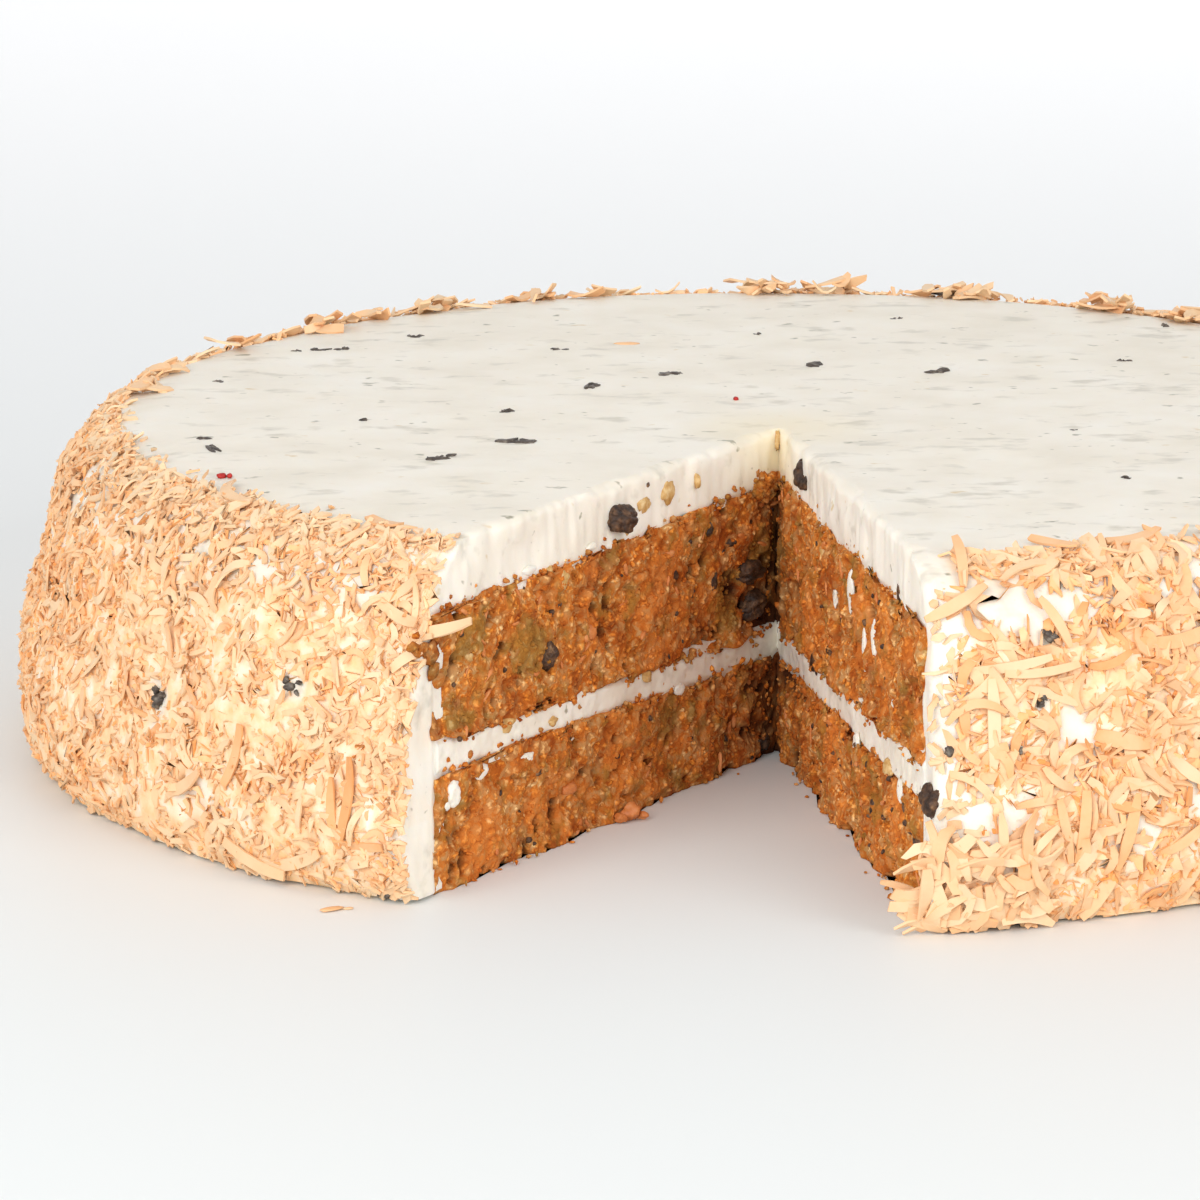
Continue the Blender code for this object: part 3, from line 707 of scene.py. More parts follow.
def cutLength(side, radius):  # along the cut from the apex out to a radius
    direction = cutDirection(side)
    middle = cake["apex"] @ direction
    return -middle + np.sqrt(middle ** 2 - cake["apex"] @ cake["apex"] + radius ** 2)


def cutPoints(side, along, height):
    place = cake["apex"] + np.asarray(along)[:, None] * cutDirection(side)
    return np.concatenate([place, np.asarray(height)[:, None]], axis=1)


def markCrumb(piece, each, tone, depth, carrot=0.0, olive=0.0):  # the marks that its material reads
    for key, value in (("tone", tone), ("depth", depth), ("carrot", carrot), ("olive", olive)):
        setAttribute(piece, key, np.repeat(np.full(len(piece.data.vertices) // each, value), each))


def makeWallBody(name, lowOf, highOf, radiusOf, reliefOf, rows, material):
    # A layer with fine cut faces: a wall of rows and columns round its outline, and two plain faces
    share = np.linspace(0, 1, rows)[:, None]
    count = int(cutLength("left", cake["crumbRadius"]) / crumb["pitch"])
    parts, marks = [], []
    for side, shares in (("left", np.linspace(1, 0, count)), ("right", np.linspace(0, 1, count)[1:])):
        x, y, _ = cutPoints(side, shares * cutLength(side, cake["crumbRadius"]), shares).T
        low, high = lowOf(x, y), highOf(x, y)
        height = low + (high - low) * share
        corner = 0 if side == "left" else -1
        line = np.stack([np.full(rows, x[corner]), np.full(rows, y[corner]), height[:, corner]], axis=1)
        outer = cutLength(side, radiusOf(height[:, corner], line))
        along = (shares[None, :] * outer[:, None]).reshape(-1)
        flat = cutPoints(side, along, height.reshape(-1))
        stand, tone, depth = reliefOf(flat, np.clip(along / crumb["calmPoint"], 0.25, 1))
        depth = depth + 0.8 * np.clip(1 - along / crumb["apexShadeReach"], 0, 1)  # painted shade: darker towards where the cuts meet, in the notch's inner corner
        flat[:, :2] += stand[:, None] * cutNormal(side)
        parts.append(flat.reshape(rows, -1, 3))
        marks.append(np.stack([tone, depth], axis=1).reshape(rows, -1, 2))
    turnRight = math.atan2(parts[1][0, -1, 1], parts[1][0, -1, 0])
    turnLeft = math.atan2(parts[0][0, 0, 1], parts[0][0, 0, 0]) + 2 * math.pi
    turns = np.linspace(turnRight, turnLeft, crumb["hiddenColumns"] + 2)[1:-1]
    x, y = cake["crumbRadius"] * np.cos(turns), cake["crumbRadius"] * np.sin(turns)
    height = lowOf(x, y) + (highOf(x, y) - lowOf(x, y)) * share
    parts.append(np.stack([np.tile(x, (rows, 1)), np.tile(y, (rows, 1)), height], axis=-1))
    marks.append(np.full((rows, len(turns), 2), 0.4))
    grid = np.concatenate(parts, axis=1)
    ends = np.array([[*crumb["kernel"], grid[row, :, 2].mean()] for row in (0, -1)])
    piece = makeTube(name, grid, ends, material)
    points = np.concatenate([grid.reshape(-1, 3), ends])
    marks = np.concatenate([np.concatenate(marks, axis=1).reshape(-1, 2), np.full((2, 2), 0.4)])
    markCrumb(piece, 1, marks[:, 0], marks[:, 1],
              patchShare(points, "carrotPatches"), patchShare(points, "olivePatches"))
    return piece


def raggedLine(x, y, seed):
    points = np.stack([x, y, np.zeros(len(x))], axis=1)
    line = smoothNoise(points, 5 * mm, seed) + 0.6 * smoothNoise(points, 1.9 * mm, seed + 1)
    return crumb["ragged"] * line


def crumbMaterial():
    material, tree, place = newMaterial("carrotSpongeCrumb", {
        "Roughness": 0.85, "IOR": 1.4, "Specular IOR Level": 0.3,
    })
    marks = {key: addNode(tree, "Attribute", output="Fac", attribute_name=key)
             for key in ("tone", "depth", "carrot", "olive")}
    waver = addNode(tree, "TexNoise", {"Vector": place, "Scale": 1 / (1.1 * mm), "Detail": 2.0}, "Color")
    offset = addNode(tree, "VectorMath", {0: waver, 1: (1.1 * mm,) * 3, 2: place}, operation="MULTIPLY_ADD")
    cells = addNode(tree, "TexVoronoi", {"Vector": offset, "Scale": 1 / crumb["grainSize"], "Detail": 1.6,
                                         "Roughness": 0.6, "Randomness": 1.0}, "Distance")
    random = addNode(tree, "SeparateColor", {"Color": cells.node.outputs["Color"]}, "Red")
    shade = addNode(tree, "Math", {0: marks["tone"], 1: 0.55}, operation="MULTIPLY")
    shade = addNode(tree, "Math", {0: random, 1: 0.5, 2: shade}, operation="MULTIPLY_ADD")
    colour = addNode(tree, "ValToRGB", {"Fac": shade}, stops=crumb["grains"])  # each grain has its own brown
    # painted shade in the crevices between the grains, multiplied over the colour below
    grainGapShade = addNode(tree, "ValToRGB", {"Fac": cells}, stops=crumb["grainGapShade"])
    broad = mottle(tree, place, 6.5 * mm, 3.5, 0.62)
    patches = addNode(tree, "ValToRGB", {"Fac": broad}, stops=crumb["bakedPatches"])
    for share, darkening in ((0.85, grainGapShade), (0.8, patches)):
        colour = addNode(tree, "Mix", {0: share, 6: colour, 7: darkening}, 2,
                         data_type="RGBA", blend_type="MULTIPLY")
    for key, size, low, tint, most in crumb["stains"]:
        spread = mottle(tree, place, size, 3, 0.65)
        total = addNode(tree, "Math", {0: marks[key], 1: 0.16, 2: spread}, operation="MULTIPLY_ADD")
        colour = stain(tree, colour, tint, total, low, low + 0.16, most)
    # painted shade in the pits: the deeper a point lies, the more dark brown
    colour = stain(tree, colour, crumb["pitShadeAndCrust"], marks["depth"], 0.35, 1.05)
    rounded = addNode(tree, "Math", {0: cells, 1: -1.0}, operation="MULTIPLY")
    finishMaterial(tree, colour, rounded, 0.3 * mm, 0.6)
    return material


def crumbFacePlaces(rng, count, where):  # random places on the torn faces, with their outward direction
    sides = rng.random(count) < 0.5
    along = rng.uniform(1.5 * mm, 93 * mm, count)
    share = rng.random(count)
    upper = rng.random(count) < 0.58
    places, normals = np.zeros((count, 3)), np.zeros((count, 3))
    for side, chosen in (("left", sides), ("right", ~sides)):
        flat = cutPoints(side, along[chosen], np.zeros(chosen.sum()))
        x, y = flat[:, 0], flat[:, 1]
        low = np.where(upper[chosen], layerHeight("fillingTop", x, y), 0.4 * mm)
        high = np.where(upper[chosen], layerHeight("crumbTop", x, y), layerHeight("fillingFloor", x, y))
        flat[:, 2] = low + (high - low) * share[chosen]
        stand = crumbRelief(flat, np.clip(along[chosen] / crumb["calmPoint"], 0.25, 1))[0]
        flat[:, :2] += (stand + where)[:, None] * cutNormal(side)
        places[chosen] = flat
        normals[chosen, :2] = cutNormal(side)
    return places, normals


def crumbRadius(height, line):  # the layers' uneven outer end, which the left cut drags out over the icing
    wobble = waves(line, crumb["endWobble"]) + np.where(line[:, 0] < -30 * mm, icing["leftOverlap"], 0)
    return cake["crumbRadius"] + wobble + crumb["endLean"] * np.clip((height - 28 * mm) / (12 * mm), 0, 1)


def makeCrumbLayers():
    material = crumbMaterial()

    def edge(face, seed):
        return lambda x, y: layerHeight(face, x, y) + raggedLine(x, y, seed)

    layers = (
        ("crumbLower", "cake_lower_layer", lambda x, y: np.full(len(x), 0.05 * mm),
         edge("fillingFloor", 61), 46),
        ("crumbUpper", "cake_upper_layer", edge("fillingTop", 63), edge("crumbTop", 65), 60),
    )
    for name, node, low, high, rows in layers:
        piece = makeWallBody(name, low, high, crumbRadius, crumbRelief, rows, material)
        finishPiece(piece, "crumb", node)
        print(name, "made,", len(piece.data.polygons), "faces")


def makeCrumbGrains():
    rng = np.random.default_rng(12)
    count = crumb["looseGrains"]
    places, _ = crumbFacePlaces(rng, count, -0.05 * mm)
    sizes = rng.uniform(*crumb["looseSize"], (count, 1)) ** 1.2 * rng.uniform(0.75, 1.3, (count, 3)) * mm
    tones = 0.12 + 0.55 * rng.beta(2.0, 2.2, count)
    edges = crumb["edgeGrains"]  # crumbs that the knife dragged out over the cream
    onLeft = rng.random(edges) < 0.55
    along = rng.uniform(3 * mm, 95 * mm, edges)
    line = rng.integers(0, 3, edges)
    edgePlaces = np.zeros((edges, 3))
    for side, chosen in (("left", onLeft), ("right", ~onLeft)):
        count = chosen.sum()
        flat = cutPoints(side, along[chosen], np.zeros(count))
        faces = ("crumbTop", "fillingTop", "fillingFloor")
        heights = np.stack([layerHeight(face, flat[:, 0], flat[:, 1]) for face in faces])
        flat[:, 2] = heights[line[chosen], np.arange(count)] + rng.normal(0, 0.75, count) * mm
        flat[:, :2] += rng.normal(0.0, 0.15, (count, 1)) * mm * cutNormal(side)
        edgePlaces[chosen] = flat
    edgeSizes = rng.uniform(0.4, 1.2, (edges, 1)) * rng.uniform(0.7, 1.3, (edges, 3)) * mm
    caught = crumb["caughtGrains"]  # at the point, where the two cuts meet
    apex = cutPoints("left", rng.uniform(0.5, 7.5, caught) * mm, rng.normal(42.6, 1.1, caught) * mm)
    apex[:, :2] += rng.uniform(-0.4, 0.7, (caught, 1)) * mm * cutNormal("left")
    places = np.concatenate([places, edgePlaces, apex])
    sizes = np.concatenate([sizes, edgeSizes, rng.uniform(0.9, 2.2, (caught, 3)) * mm])
    tones = np.concatenate([tones, rng.beta(1.6, 2.0, edges), rng.uniform(0.1, 0.6, caught)])
    turns = rng.uniform(0, 6.3, (len(places), 3))
    crumbs = bpy.data.materials["carrotSpongeCrumb"]
    grains, each = makeLumps("crumbGrains", places, sizes, turns, crumbs, "crumb", 13)
    markCrumb(grains, each, tones, 0.0,
              patchShare(places, "carrotPatches"), patchShare(places, "olivePatches"))
    print("crumb grains made")


# Raisins: dried grapes, soaked and baked, so their skins are wrinkled, nearly black and a little glossy
raisins = {  # cut, distance along it, height, three diameters and turn, as the solids have them, and depth
    "raisin_1": ("left", 46.6, 45.6, (6.0, 4.6, 4.2), 10, 0.2),
    "raisin_2": ("left", 67.0, 29.4, (4.8, 3.6, 3.6), 60, 0.5),
    "raisin_3": ("left", 9.0, 30.4, (6.6, 4.4, 4.0), 5, 0.5),
    "raisin_4": ("left", 7.6, 24.9, (5.2, 3.8, 3.8), -15, 0.4),
    "raisin_5": ("right", 16.6, 46.7, (5.4, 4.0, 5.0), 80, 1.1),
    "raisin_6": ("right", 101.6, 18.6, (5.6, 4.4, 4.6), 65, 0.9),
}

# Finishes of what is baked in: raisin skin as above; chopped walnut, pale brown and matt; grated carrot,
# moist and smooth; dried berry, dark red; and raisin skin that shows greyer through a film of icing.
plainGrain = (0.5, 3, 0.55, 0.2, 0.6)
bitFinishes = {  # size and roughness of the mottling, gloss, then the grain and the colours
    # the grain is its size, detail, roughness, depth and strength; sizes and depths are in mm
    "bakedRaisinSkin": (1.4, 0.55, 0.5, (0.6, 4, 0.7, 0.3, 0.8), [
        (0.28, "#22160E"), (0.48, "#412B1D"), (0.62, "#674931"), (0.78, "#9A7852")]),
    "choppedWalnut": (1.5, 0.6, 0.55, plainGrain, [(0.3, "#A9783A"), (0.5, "#CDA263"), (0.7, "#E6C994")]),
    "gratedCarrot": (2.0, 0.6, 0.45, plainGrain, [(0.3, "#BE6A30"), (0.5, "#D48144"), (0.75, "#E5A268")]),
    "driedRedBerry": (1.0, 0.6, 0.55, plainGrain, [(0.3, "#8E1414"), (0.7, "#C8322A")]),
    "raisinSkinUnderIcing": (1.2, 0.6, 0.55, plainGrain, [
        (0.3, "#332B26"), (0.5, "#544A42"), (0.72, "#8E8476")]),
}


def bitMaterial(name):
    size, uneven, gloss, (grain, detail, rough, depth, strength), colours = bitFinishes[name]
    material, tree, place = newMaterial(name, {"Roughness": gloss, "IOR": 1.45})
    colour = addNode(tree, "ValToRGB", {"Fac": mottle(tree, place, size * mm, 4, uneven)}, stops=colours)
    finishMaterial(tree, colour, mottle(tree, place, grain * mm, detail, rough), depth * mm, strength)
    return material


def makeBall(subdivisions):
    bm = bmesh.new()
    bmesh.ops.create_icosphere(bm, subdivisions=subdivisions, radius=1)
    ball = np.array([v.co[:] for v in bm.verts])
    faces = np.array([[v.index for v in face.verts] for face in bm.faces])
    bm.free()
    return ball, faces


def makeRaisins(material):
    for number, (node, (side, along, height, size, turn, inward)) in enumerate(raisins.items()):
        ball, faces = makeBall(5)
        folds = smoothNoise(ball * (0.45, 1, 1), 0.42, 200 + number)
        wrinkles = 1 - 0.13 * (1 - np.abs(folds) * 2.2).clip(0, 1) ** 2
        for depth, width, seed in ((0.22, 0.8, 220), (0.12, 0.34, 240), (0.05, 0.13, 230)):
            wrinkles += depth * smoothNoise(ball, width, seed + number)
        shape = ball * wrinkles[:, None] * np.array(size) / 2 * mm * 1.06
        c, s = math.cos(math.radians(turn)), math.sin(math.radians(turn))
        lengthwise = shape[:, 0] * c - shape[:, 2] * s
        upward = shape[:, 0] * s + shape[:, 2] * c
        points = cutPoints(side, along * mm + lengthwise, height * mm + upward)
        points[:, :2] += (shape[:, 1] - inward * mm)[:, None] * cutNormal(side)
        if side == "right":  # this mirrors the shape, so its faces are turned round
            faces = faces[:, ::-1]
        finishPiece(makeMesh(node + "Skin", points, faces, material), "raisin", node)
    print("raisins made")


# Bits at the cut: place on a cut (side, distance along it, height), then width, height and depth in mm
bits = {
    "dark": [
        ("left", 31.1, 34.4, 1.7, 2.6, 1.6), ("left", 21.0, 39.3, 1.6, 2.3, 1.6),
        ("left", 19.7, 30.9, 1.4, 3.4, 1.5), ("left", 65.6, 35.1, 1.5, 1.0, 1.0),
        ("left", 63.6, 35.8, 1.0, 0.9, 0.9), ("left", 70.6, 12.5, 3.2, 1.7, 1.6),
        ("left", 39.1, 49.4, 1.7, 1.3, 1.0), ("left", 51.0, 33.0, 0.9, 1.2, 0.9),
        ("left", 14.5, 35.8, 1.8, 1.2, 1.4), ("left", 84.0, 36.0, 1.0, 0.8, 0.8),
        ("left", 38.0, 27.2, 1.1, 0.9, 0.9), ("left", 3.2, 2.2, 3.2, 3.0, 2.6),
        ("left", 46.0, 45.6, 3.0, 2.6, 1.4), ("left", 26.5, 30.0, 1.0, 1.6, 1.0),
        ("left", 9.5, 38.2, 2.2, 1.4, 1.6), ("right", 80.0, 43.4, 3.2, 2.8, 1.0),
        ("right", 84.4, 46.2, 3.4, 2.2, 1.0), ("right", 88.6, 48.6, 3.4, 2.2, 1.0),
        ("right", 26.5, 20.1, 4.6, 3.6, 1.8), ("right", 54.6, 20.8, 7.0, 1.2, 1.0),
        ("right", 65.5, 7.7, 2.4, 3.6, 1.3), ("right", 92.1, 10.0, 3.6, 2.6, 1.5),
        ("right", 83.0, 12.8, 2.4, 2.0, 1.2), ("right", 73.0, 29.0, 1.6, 1.2, 1.0),
        ("right", 36.0, 24.3, 2.6, 1.0, 1.2), ("right", 60.0, 25.0, 1.4, 1.2, 1.0),
        ("right", 44.0, 31.0, 1.4, 1.4, 1.0),
    ],
    "walnut": [
        ("left", 62.6, 39.7, 2.8, 2.6, 1.8), ("left", 66.5, 41.6, 2.0, 1.4, 1.4),
        ("left", 77.5, 20.9, 3.6, 2.0, 1.4), ("left", 65.8, 18.9, 2.2, 1.4, 1.2),
        ("left", 53.3, 19.9, 1.6, 1.4, 1.0), ("left", 39.0, 20.1, 2.8, 1.8, 1.2),
        ("left", 40.6, 46.4, 4.0, 2.2, 1.4), ("left", 33.3, 47.2, 3.4, 3.6, 1.6),
        ("left", 44.6, 43.2, 1.6, 1.2, 1.0), ("right", 75.8, 16.8, 4.6, 2.4, 1.6),
        ("right", 81.0, 47.6, 3.0, 1.6, 1.0), ("left", 48.0, 39.6, 1.4, 1.6, 1.2),
        ("left", 25.2, 47.4, 1.0, 2.2, 1.0), ("left", 0.8, 49.2, 0.9, 3.6, 1.0),
        ("left", 88.0, 33.0, 1.8, 1.4, 1.2), ("right", 33.0, 38.6, 3.4, 2.6, 1.6),
    ],
    "cream": [  # cream dragged over the crumb by the knife
        ("left", 93.6, 14.3, 3.2, 3.6, 1.4), ("left", 95.0, 12.9, 1.3, 1.6, 0.8),
        ("right", 51.4, 37.1, 2.8, 6.5, 1.1), ("right", 66.3, 33.4, 3.0, 5.5, 1.1),
        ("right", 59.0, 30.5, 1.6, 7.0, 0.9), ("right", 79.0, 26.8, 4.6, 1.5, 1.1),
        ("right", 57.0, 15.6, 3.0, 3.2, 1.0), ("right", 83.5, 15.4, 2.6, 3.4, 1.0),
        ("right", 40.0, 33.6, 1.4, 3.0, 0.9), ("left", 30.0, 16.2, 3.0, 1.8, 0.9),
        ("left", 60.0, 15.0, 3.6, 1.6, 0.9), ("left", 74.0, 15.2, 4.0, 1.8, 0.9),
        ("left", 86.0, 15.8, 4.0, 2.2, 1.0), ("left", 71.8, 42.6, 3.6, 1.4, 0.9),
        ("left", 55.0, 43.0, 3.0, 1.2, 0.9),
    ],
    "crust": [  # distance along the left cut, height, then width, depth and height
        (103.0, 37.6, 2.6, 1.0, 1.4), (100.8, 36.9, 3.2, 1.2, 2.0), (98.6, 36.0, 3.4, 1.3, 3.0),
        (97.2, 38.6, 3.0, 1.2, 2.4), (97.6, 33.2, 2.4, 1.2, 2.8), (101.9, 39.0, 1.6, 0.8, 1.0),
    ],
    "carrot": [
        ("left", 55.1, 30.0, 2.6, 2.2, 1.6), ("left", 33.0, 37.6, 3.0, 1.4, 1.4),
        ("left", 60.4, 7.5, 3.4, 1.8, 1.2),
    ],
    "red": [  # x, y, z and three diameters of the ones on the top
        (-8.4, 6.9, 51.3, 0.9, 1.4, 0.7), (-85.6, -50.7, 51.2, 1.6, 1.8, 0.8),
        (-84.4, -51.2, 51.3, 0.9, 1.2, 0.7),
    ],
    "fallenCarrot": [  # distance along the left cut, out from it and height, then three diameters
        (47.8, 2.6, 1.3, 2.8, 2.2, 2.4), (46.2, 3.6, 0.8, 1.8, 1.6, 1.4), (49.6, 1.8, 0.8, 1.8, 1.6, 1.4),
    ],
    "shreds": 100, "specks": 70, "fallen": 46, "scrapsEach": 4,
}

topFlecks = [  # x, y, length, width and turn of the raisin skins in the top, in mm and degrees
    (-31.0, 18.4, 2.0, 4.4, -20), (-18.4, 28.2, 3.6, 2.6, 5), (-44.4, -2.7, 2.2, 2.0, -15),
    (-42.7, -25.8, 4.4, 2.6, -12), (-53.0, -36.9, 1.6, 3.6, -25), (-55.3, -38.6, 2.4, 2.4, 10),
    (-89.6, -24.0, 3.0, 1.6, 20), (-88.6, -29.0, 1.4, 6.0, 12), (4.3, 35.8, 3.0, 2.6, 5),
    (24.8, 30.4, 4.0, 2.0, 0), (30.4, 100.4, 5.8, 3.4, 8), (-0.1, 108.0, 1.6, 2.0, 0),
    (-75.6, 48.0, 3.0, 1.6, 0), (-71.6, 48.8, 2.2, 2.0, 10), (-79.0, 47.2, 1.6, 1.2, 0),
    (-90.0, 20.7, 2.0, 2.6, 0), (-36.0, 48.4, 2.6, 1.4, 5), (-60.0, 60.0, 2.4, 1.6, 0),
    (-66.0, -9.7, 1.6, 1.0, 0), (42.9, -17.4, 2.0, 1.0, 10), (55.0, 38.3, 2.2, 1.4, 0),
    (70.0, 10.0, 2.4, 1.4, 40), (64.0, 70.0, 2.8, 1.2, 70), (88.0, -20.0, 2.4, 1.6, 110),
    (20.0, 76.0, 2.0, 1.4, 0), (78.0, 48.0, 3.2, 1.4, 130), (-4.0, 62.0, 1.6, 1.2, 0),
    (48.0, -52.0, 2.2, 1.4, 60),
]


def makeLumps(name, places, sizes, turns, material, slotName, seed, subdivisions=1, rough=0.28):
    # Many rough lumps in one mesh
    rng = np.random.default_rng(seed)
    ball, faces = makeBall(subdivisions)
    count = len(places)
    if subdivisions == 1:
        bulge = 1 + rng.uniform(-rough, rough, (count, len(ball)))
    else:
        shifted = (ball[None] + rng.uniform(-50, 50, (count, 1, 3))).reshape(-1, 3)
        bulge = (1 + rough * (smoothNoise(shifted, 0.75, seed) + 0.5 * smoothNoise(shifted, 0.3, seed + 1)))
        bulge = bulge.reshape(count, -1)
    points = ball * bulge[..., None] * sizes[:, None, :] / 2
    for axis in range(3):
        first, second = (axis + 1) % 3, (axis + 2) % 3
        c, s = np.cos(turns[:, axis])[:, None], np.sin(turns[:, axis])[:, None]
        a, b = points[..., first].copy(), points[..., second].copy()
        points[..., first], points[..., second] = a * c - b * s, a * s + b * c
    points += places[:, None, :]
    points[..., 2] += np.clip(0.05 * mm - points[..., 2].min(axis=1), 0, None)[:, None]
    allFaces = faces + np.arange(count)[:, None, None] * len(ball)
    piece = makeMesh(name, points.reshape(-1, 3), allFaces.reshape(-1, 3), material)
    finishPiece(piece, slotName)
    return piece, len(ball)


def makeCutBits(name, kind, material, slotName, seed, inset, subdivisions=3, rough=0.35):
    rows = bits[kind]
    places, turns = [], []
    for side, along, height, *_ in rows:
        place = cutPoints(side, [along * mm], [height * mm])
        stand = crumbRelief(place, np.ones(1))[0][0] * 0.6
        place[0, :2] += (stand + inset) * cutNormal(side)
        places.append(place[0])
        turns.append((0, 0, cutHeading(side)))
    sizes = np.array([(w, d, h) for _, _, _, w, h, d in rows]) * mm
    makeLumps(name, np.array(places), sizes, np.array(turns), material, slotName, seed, subdivisions, rough)


def makeFaceBits(rng, raisinSkin, carrot):
    count = bits["shreds"]  # thin carrot shreds torn off at the face
    places, normals = crumbFacePlaces(rng, count, -0.12 * mm)
    sizes = [rng.uniform(low, high, count) * mm for low, high in ((1.2, 3.6), (0.5, 0.9), (0.5, 0.9))]
    turns = [rng.uniform(-0.4, 0.4, count), rng.uniform(-1.5, 1.5, count),
             np.arctan2(normals[:, 0], -normals[:, 1]) + rng.normal(0, 0.2, count)]
    sizes, turns = np.stack(sizes, axis=1), np.stack(turns, axis=1)
    makeLumps("carrotShreds", places, sizes, turns, carrot, "crumb", 305, 2, 0.3)
    count = bits["specks"]  # small dark bits of raisin and peel
    places, _ = crumbFacePlaces(rng, count, 0.0)
    sizes = rng.uniform(0.4, 1.1, (count, 3)) * mm
    turns = rng.uniform(0, 6.3, (count, 3))
    makeLumps("raisinSpecks", places, sizes, turns, raisinSkin, "raisin", 306, 2)


def makeTopBits(rng, veiled):
    scraps = []  # each fleck is a few thin scraps beside each other
    for x, y, length, width, turn in topFlecks:
        c, s = math.cos(math.radians(turn)), math.sin(math.radians(turn))
        for _ in range(bits["scrapsEach"]):
            a, b = rng.uniform(-0.4, 0.4) * length, rng.uniform(-0.4, 0.4) * width
            sizes = length * rng.uniform(0.35, 0.75), width * rng.uniform(0.45, 0.9)
            twist = math.radians(turn) + rng.normal(0, 0.35)
            scraps.append((x + a * c - b * s, y + a * s + b * c, *sizes, twist))
    x, y, length, width, twist = np.array(scraps).T
    count = len(scraps)
    places = np.stack([x, y, np.full(count, cake["icingTop"] / mm - 0.2)], axis=1) * mm
    sizes = np.stack([length, width, rng.uniform(0.5, 0.85, count)], axis=1) * mm
    turns = np.stack([np.zeros(count), np.zeros(count), twist], axis=1)
    makeLumps("topRaisinSkins", places, sizes, turns, veiled, "icing", 307, 2, 0.6)
    red = np.array(bits["red"]) * mm
    berry = bitMaterial("driedRedBerry")
    makeLumps("topRedBits", red[:, :3], red[:, 3:], np.zeros((len(red), 3)), berry, "icing", 308, 2)


def makeCoatBits(rng, veiled):  # raisin bits between the coconut shreds
    spots = np.array(coatSpots)
    points, normals, _, _ = surfaceAt(np.radians(spots[:, 0]), spots[:, 1] * mm)
    points = points + normals * 0.55 * mm
    sizes = (spots[:, 2:3] * rng.uniform(0.6, 1.2, (len(spots), 3))) * mm
    sizes[:, :2] *= 0.9
    turns = rng.uniform(0, 6.3, (len(spots), 3))
    makeLumps("coatRaisinBits", points, sizes, turns, veiled, "icing", 309, 3, 0.5)


def makeFallen(rng, crumbs, carrot):
    crust = np.array(bits["crust"])  # a flap of crust dragged out over the icing's end
    places = cutPoints("left", crust[:, 0] * mm, crust[:, 1] * mm)
    places[:, :2] += 0.15 * mm * cutNormal("left")
    turns = np.tile([0.0, 0.0, cutHeading("left")], (len(crust), 1))
    flap, each = makeLumps("crustFlap", places, crust[:, 2:5] * mm, turns, crumbs, "crumb", 315, 3, 0.5)
    # depth 0.5 mixes in the dark brown as the crust's own darker colour
    markCrumb(flap, each, 0.35, 0.5)
    count = bits["fallen"]  # crumbs that fell at the foot of the cuts
    onLeft = rng.random(count) < 0.5
    along = rng.uniform(4, 95, count) * mm
    out = rng.exponential(0.5, count) * mm + 0.3 * mm
    sizes = rng.uniform(0.3, 1.1, (count, 3)) * mm
    places = np.zeros((count, 3))
    for side, chosen in (("left", onLeft), ("right", ~onLeft)):
        places[chosen] = cutPoints(side, along[chosen], sizes[chosen, 2] * 0.45)
        places[chosen, :2] += out[chosen, None] * cutNormal(side)
    fallen, each = makeLumps("fallenCrumbs", places, sizes, np.zeros((count, 3)), crumbs, "crumb", 311)
    markCrumb(fallen, each, rng.beta(2, 2, count), 0.0)
    rows = np.array(bits["fallenCarrot"]) * mm
    places = cutPoints("left", rows[:, 0], rows[:, 2])
    places[:, :2] += rows[:, 1:2] * cutNormal("left")
    makeLumps("fallenCarrot", places, rows[:, 3:], np.zeros((len(rows), 3)), carrot, "crumb", 312, 3, 0.4)


def makeBits(cream, raisinSkin):
    walnut, carrot = bitMaterial("choppedWalnut"), bitMaterial("gratedCarrot")
    makeCutBits("cutRaisinBits", "dark", raisinSkin, "raisin", 301, -0.35 * mm)
    makeCutBits("cutWalnut", "walnut", walnut, "crumb", 302, -0.3 * mm)
    makeCutBits("cutCream", "cream", cream, "cream", 303, 0.1 * mm, 4, 0.2)
    makeCutBits("cutCarrot", "carrot", carrot, "crumb", 304, -0.2 * mm)
    rng = np.random.default_rng(31)
    veiled = bitMaterial("raisinSkinUnderIcing")
    makeFaceBits(rng, raisinSkin, carrot)
    makeTopBits(rng, veiled)
    makeCoatBits(rng, veiled)
    makeFallen(rng, bpy.data.materials["carrotSpongeCrumb"], carrot)
    print("bits made")


# Filling: the same cream, squeezed between the layers, wiped by the knife and flecked with crumb
filling = {
    "wiped": ((0.3, 4, 71), (0.12, 1.2, 72)), "stand": 0.15 * mm,
    "behindCrumb": 0.6 * mm, "behindWidth": 0.8 * mm,
    "intoLayers": 1.1 * mm,  # it runs on above and below, so that no crack shows at the torn edges
    "pastCrumb": 0.8 * mm, "rows": 20,
}


def fillingRelief(points, taper):
    wiped = waves(points, filling["wiped"])
    x, y, z = points.T
    inside = np.minimum(z - layerHeight("fillingFloor", x, y), layerHeight("fillingTop", x, y) - z)
    behind = filling["behindCrumb"] * np.clip(0.6 - inside / filling["behindWidth"], 0, 1)
    return (wiped + filling["stand"] - behind) * taper, np.zeros(len(points)), np.zeros(len(points))


def makeFilling(material):
    piece = makeWallBody(
        "creamFilling", lambda x, y: layerHeight("fillingFloor", x, y) - filling["intoLayers"],
        lambda x, y: layerHeight("fillingTop", x, y) + filling["intoLayers"],
        lambda height, line: np.full(len(height), cake["crumbRadius"] + filling["pastCrumb"]),
        fillingRelief, filling["rows"], material)
    finishPiece(piece, "cream", "cream_filling")
    print("filling made")


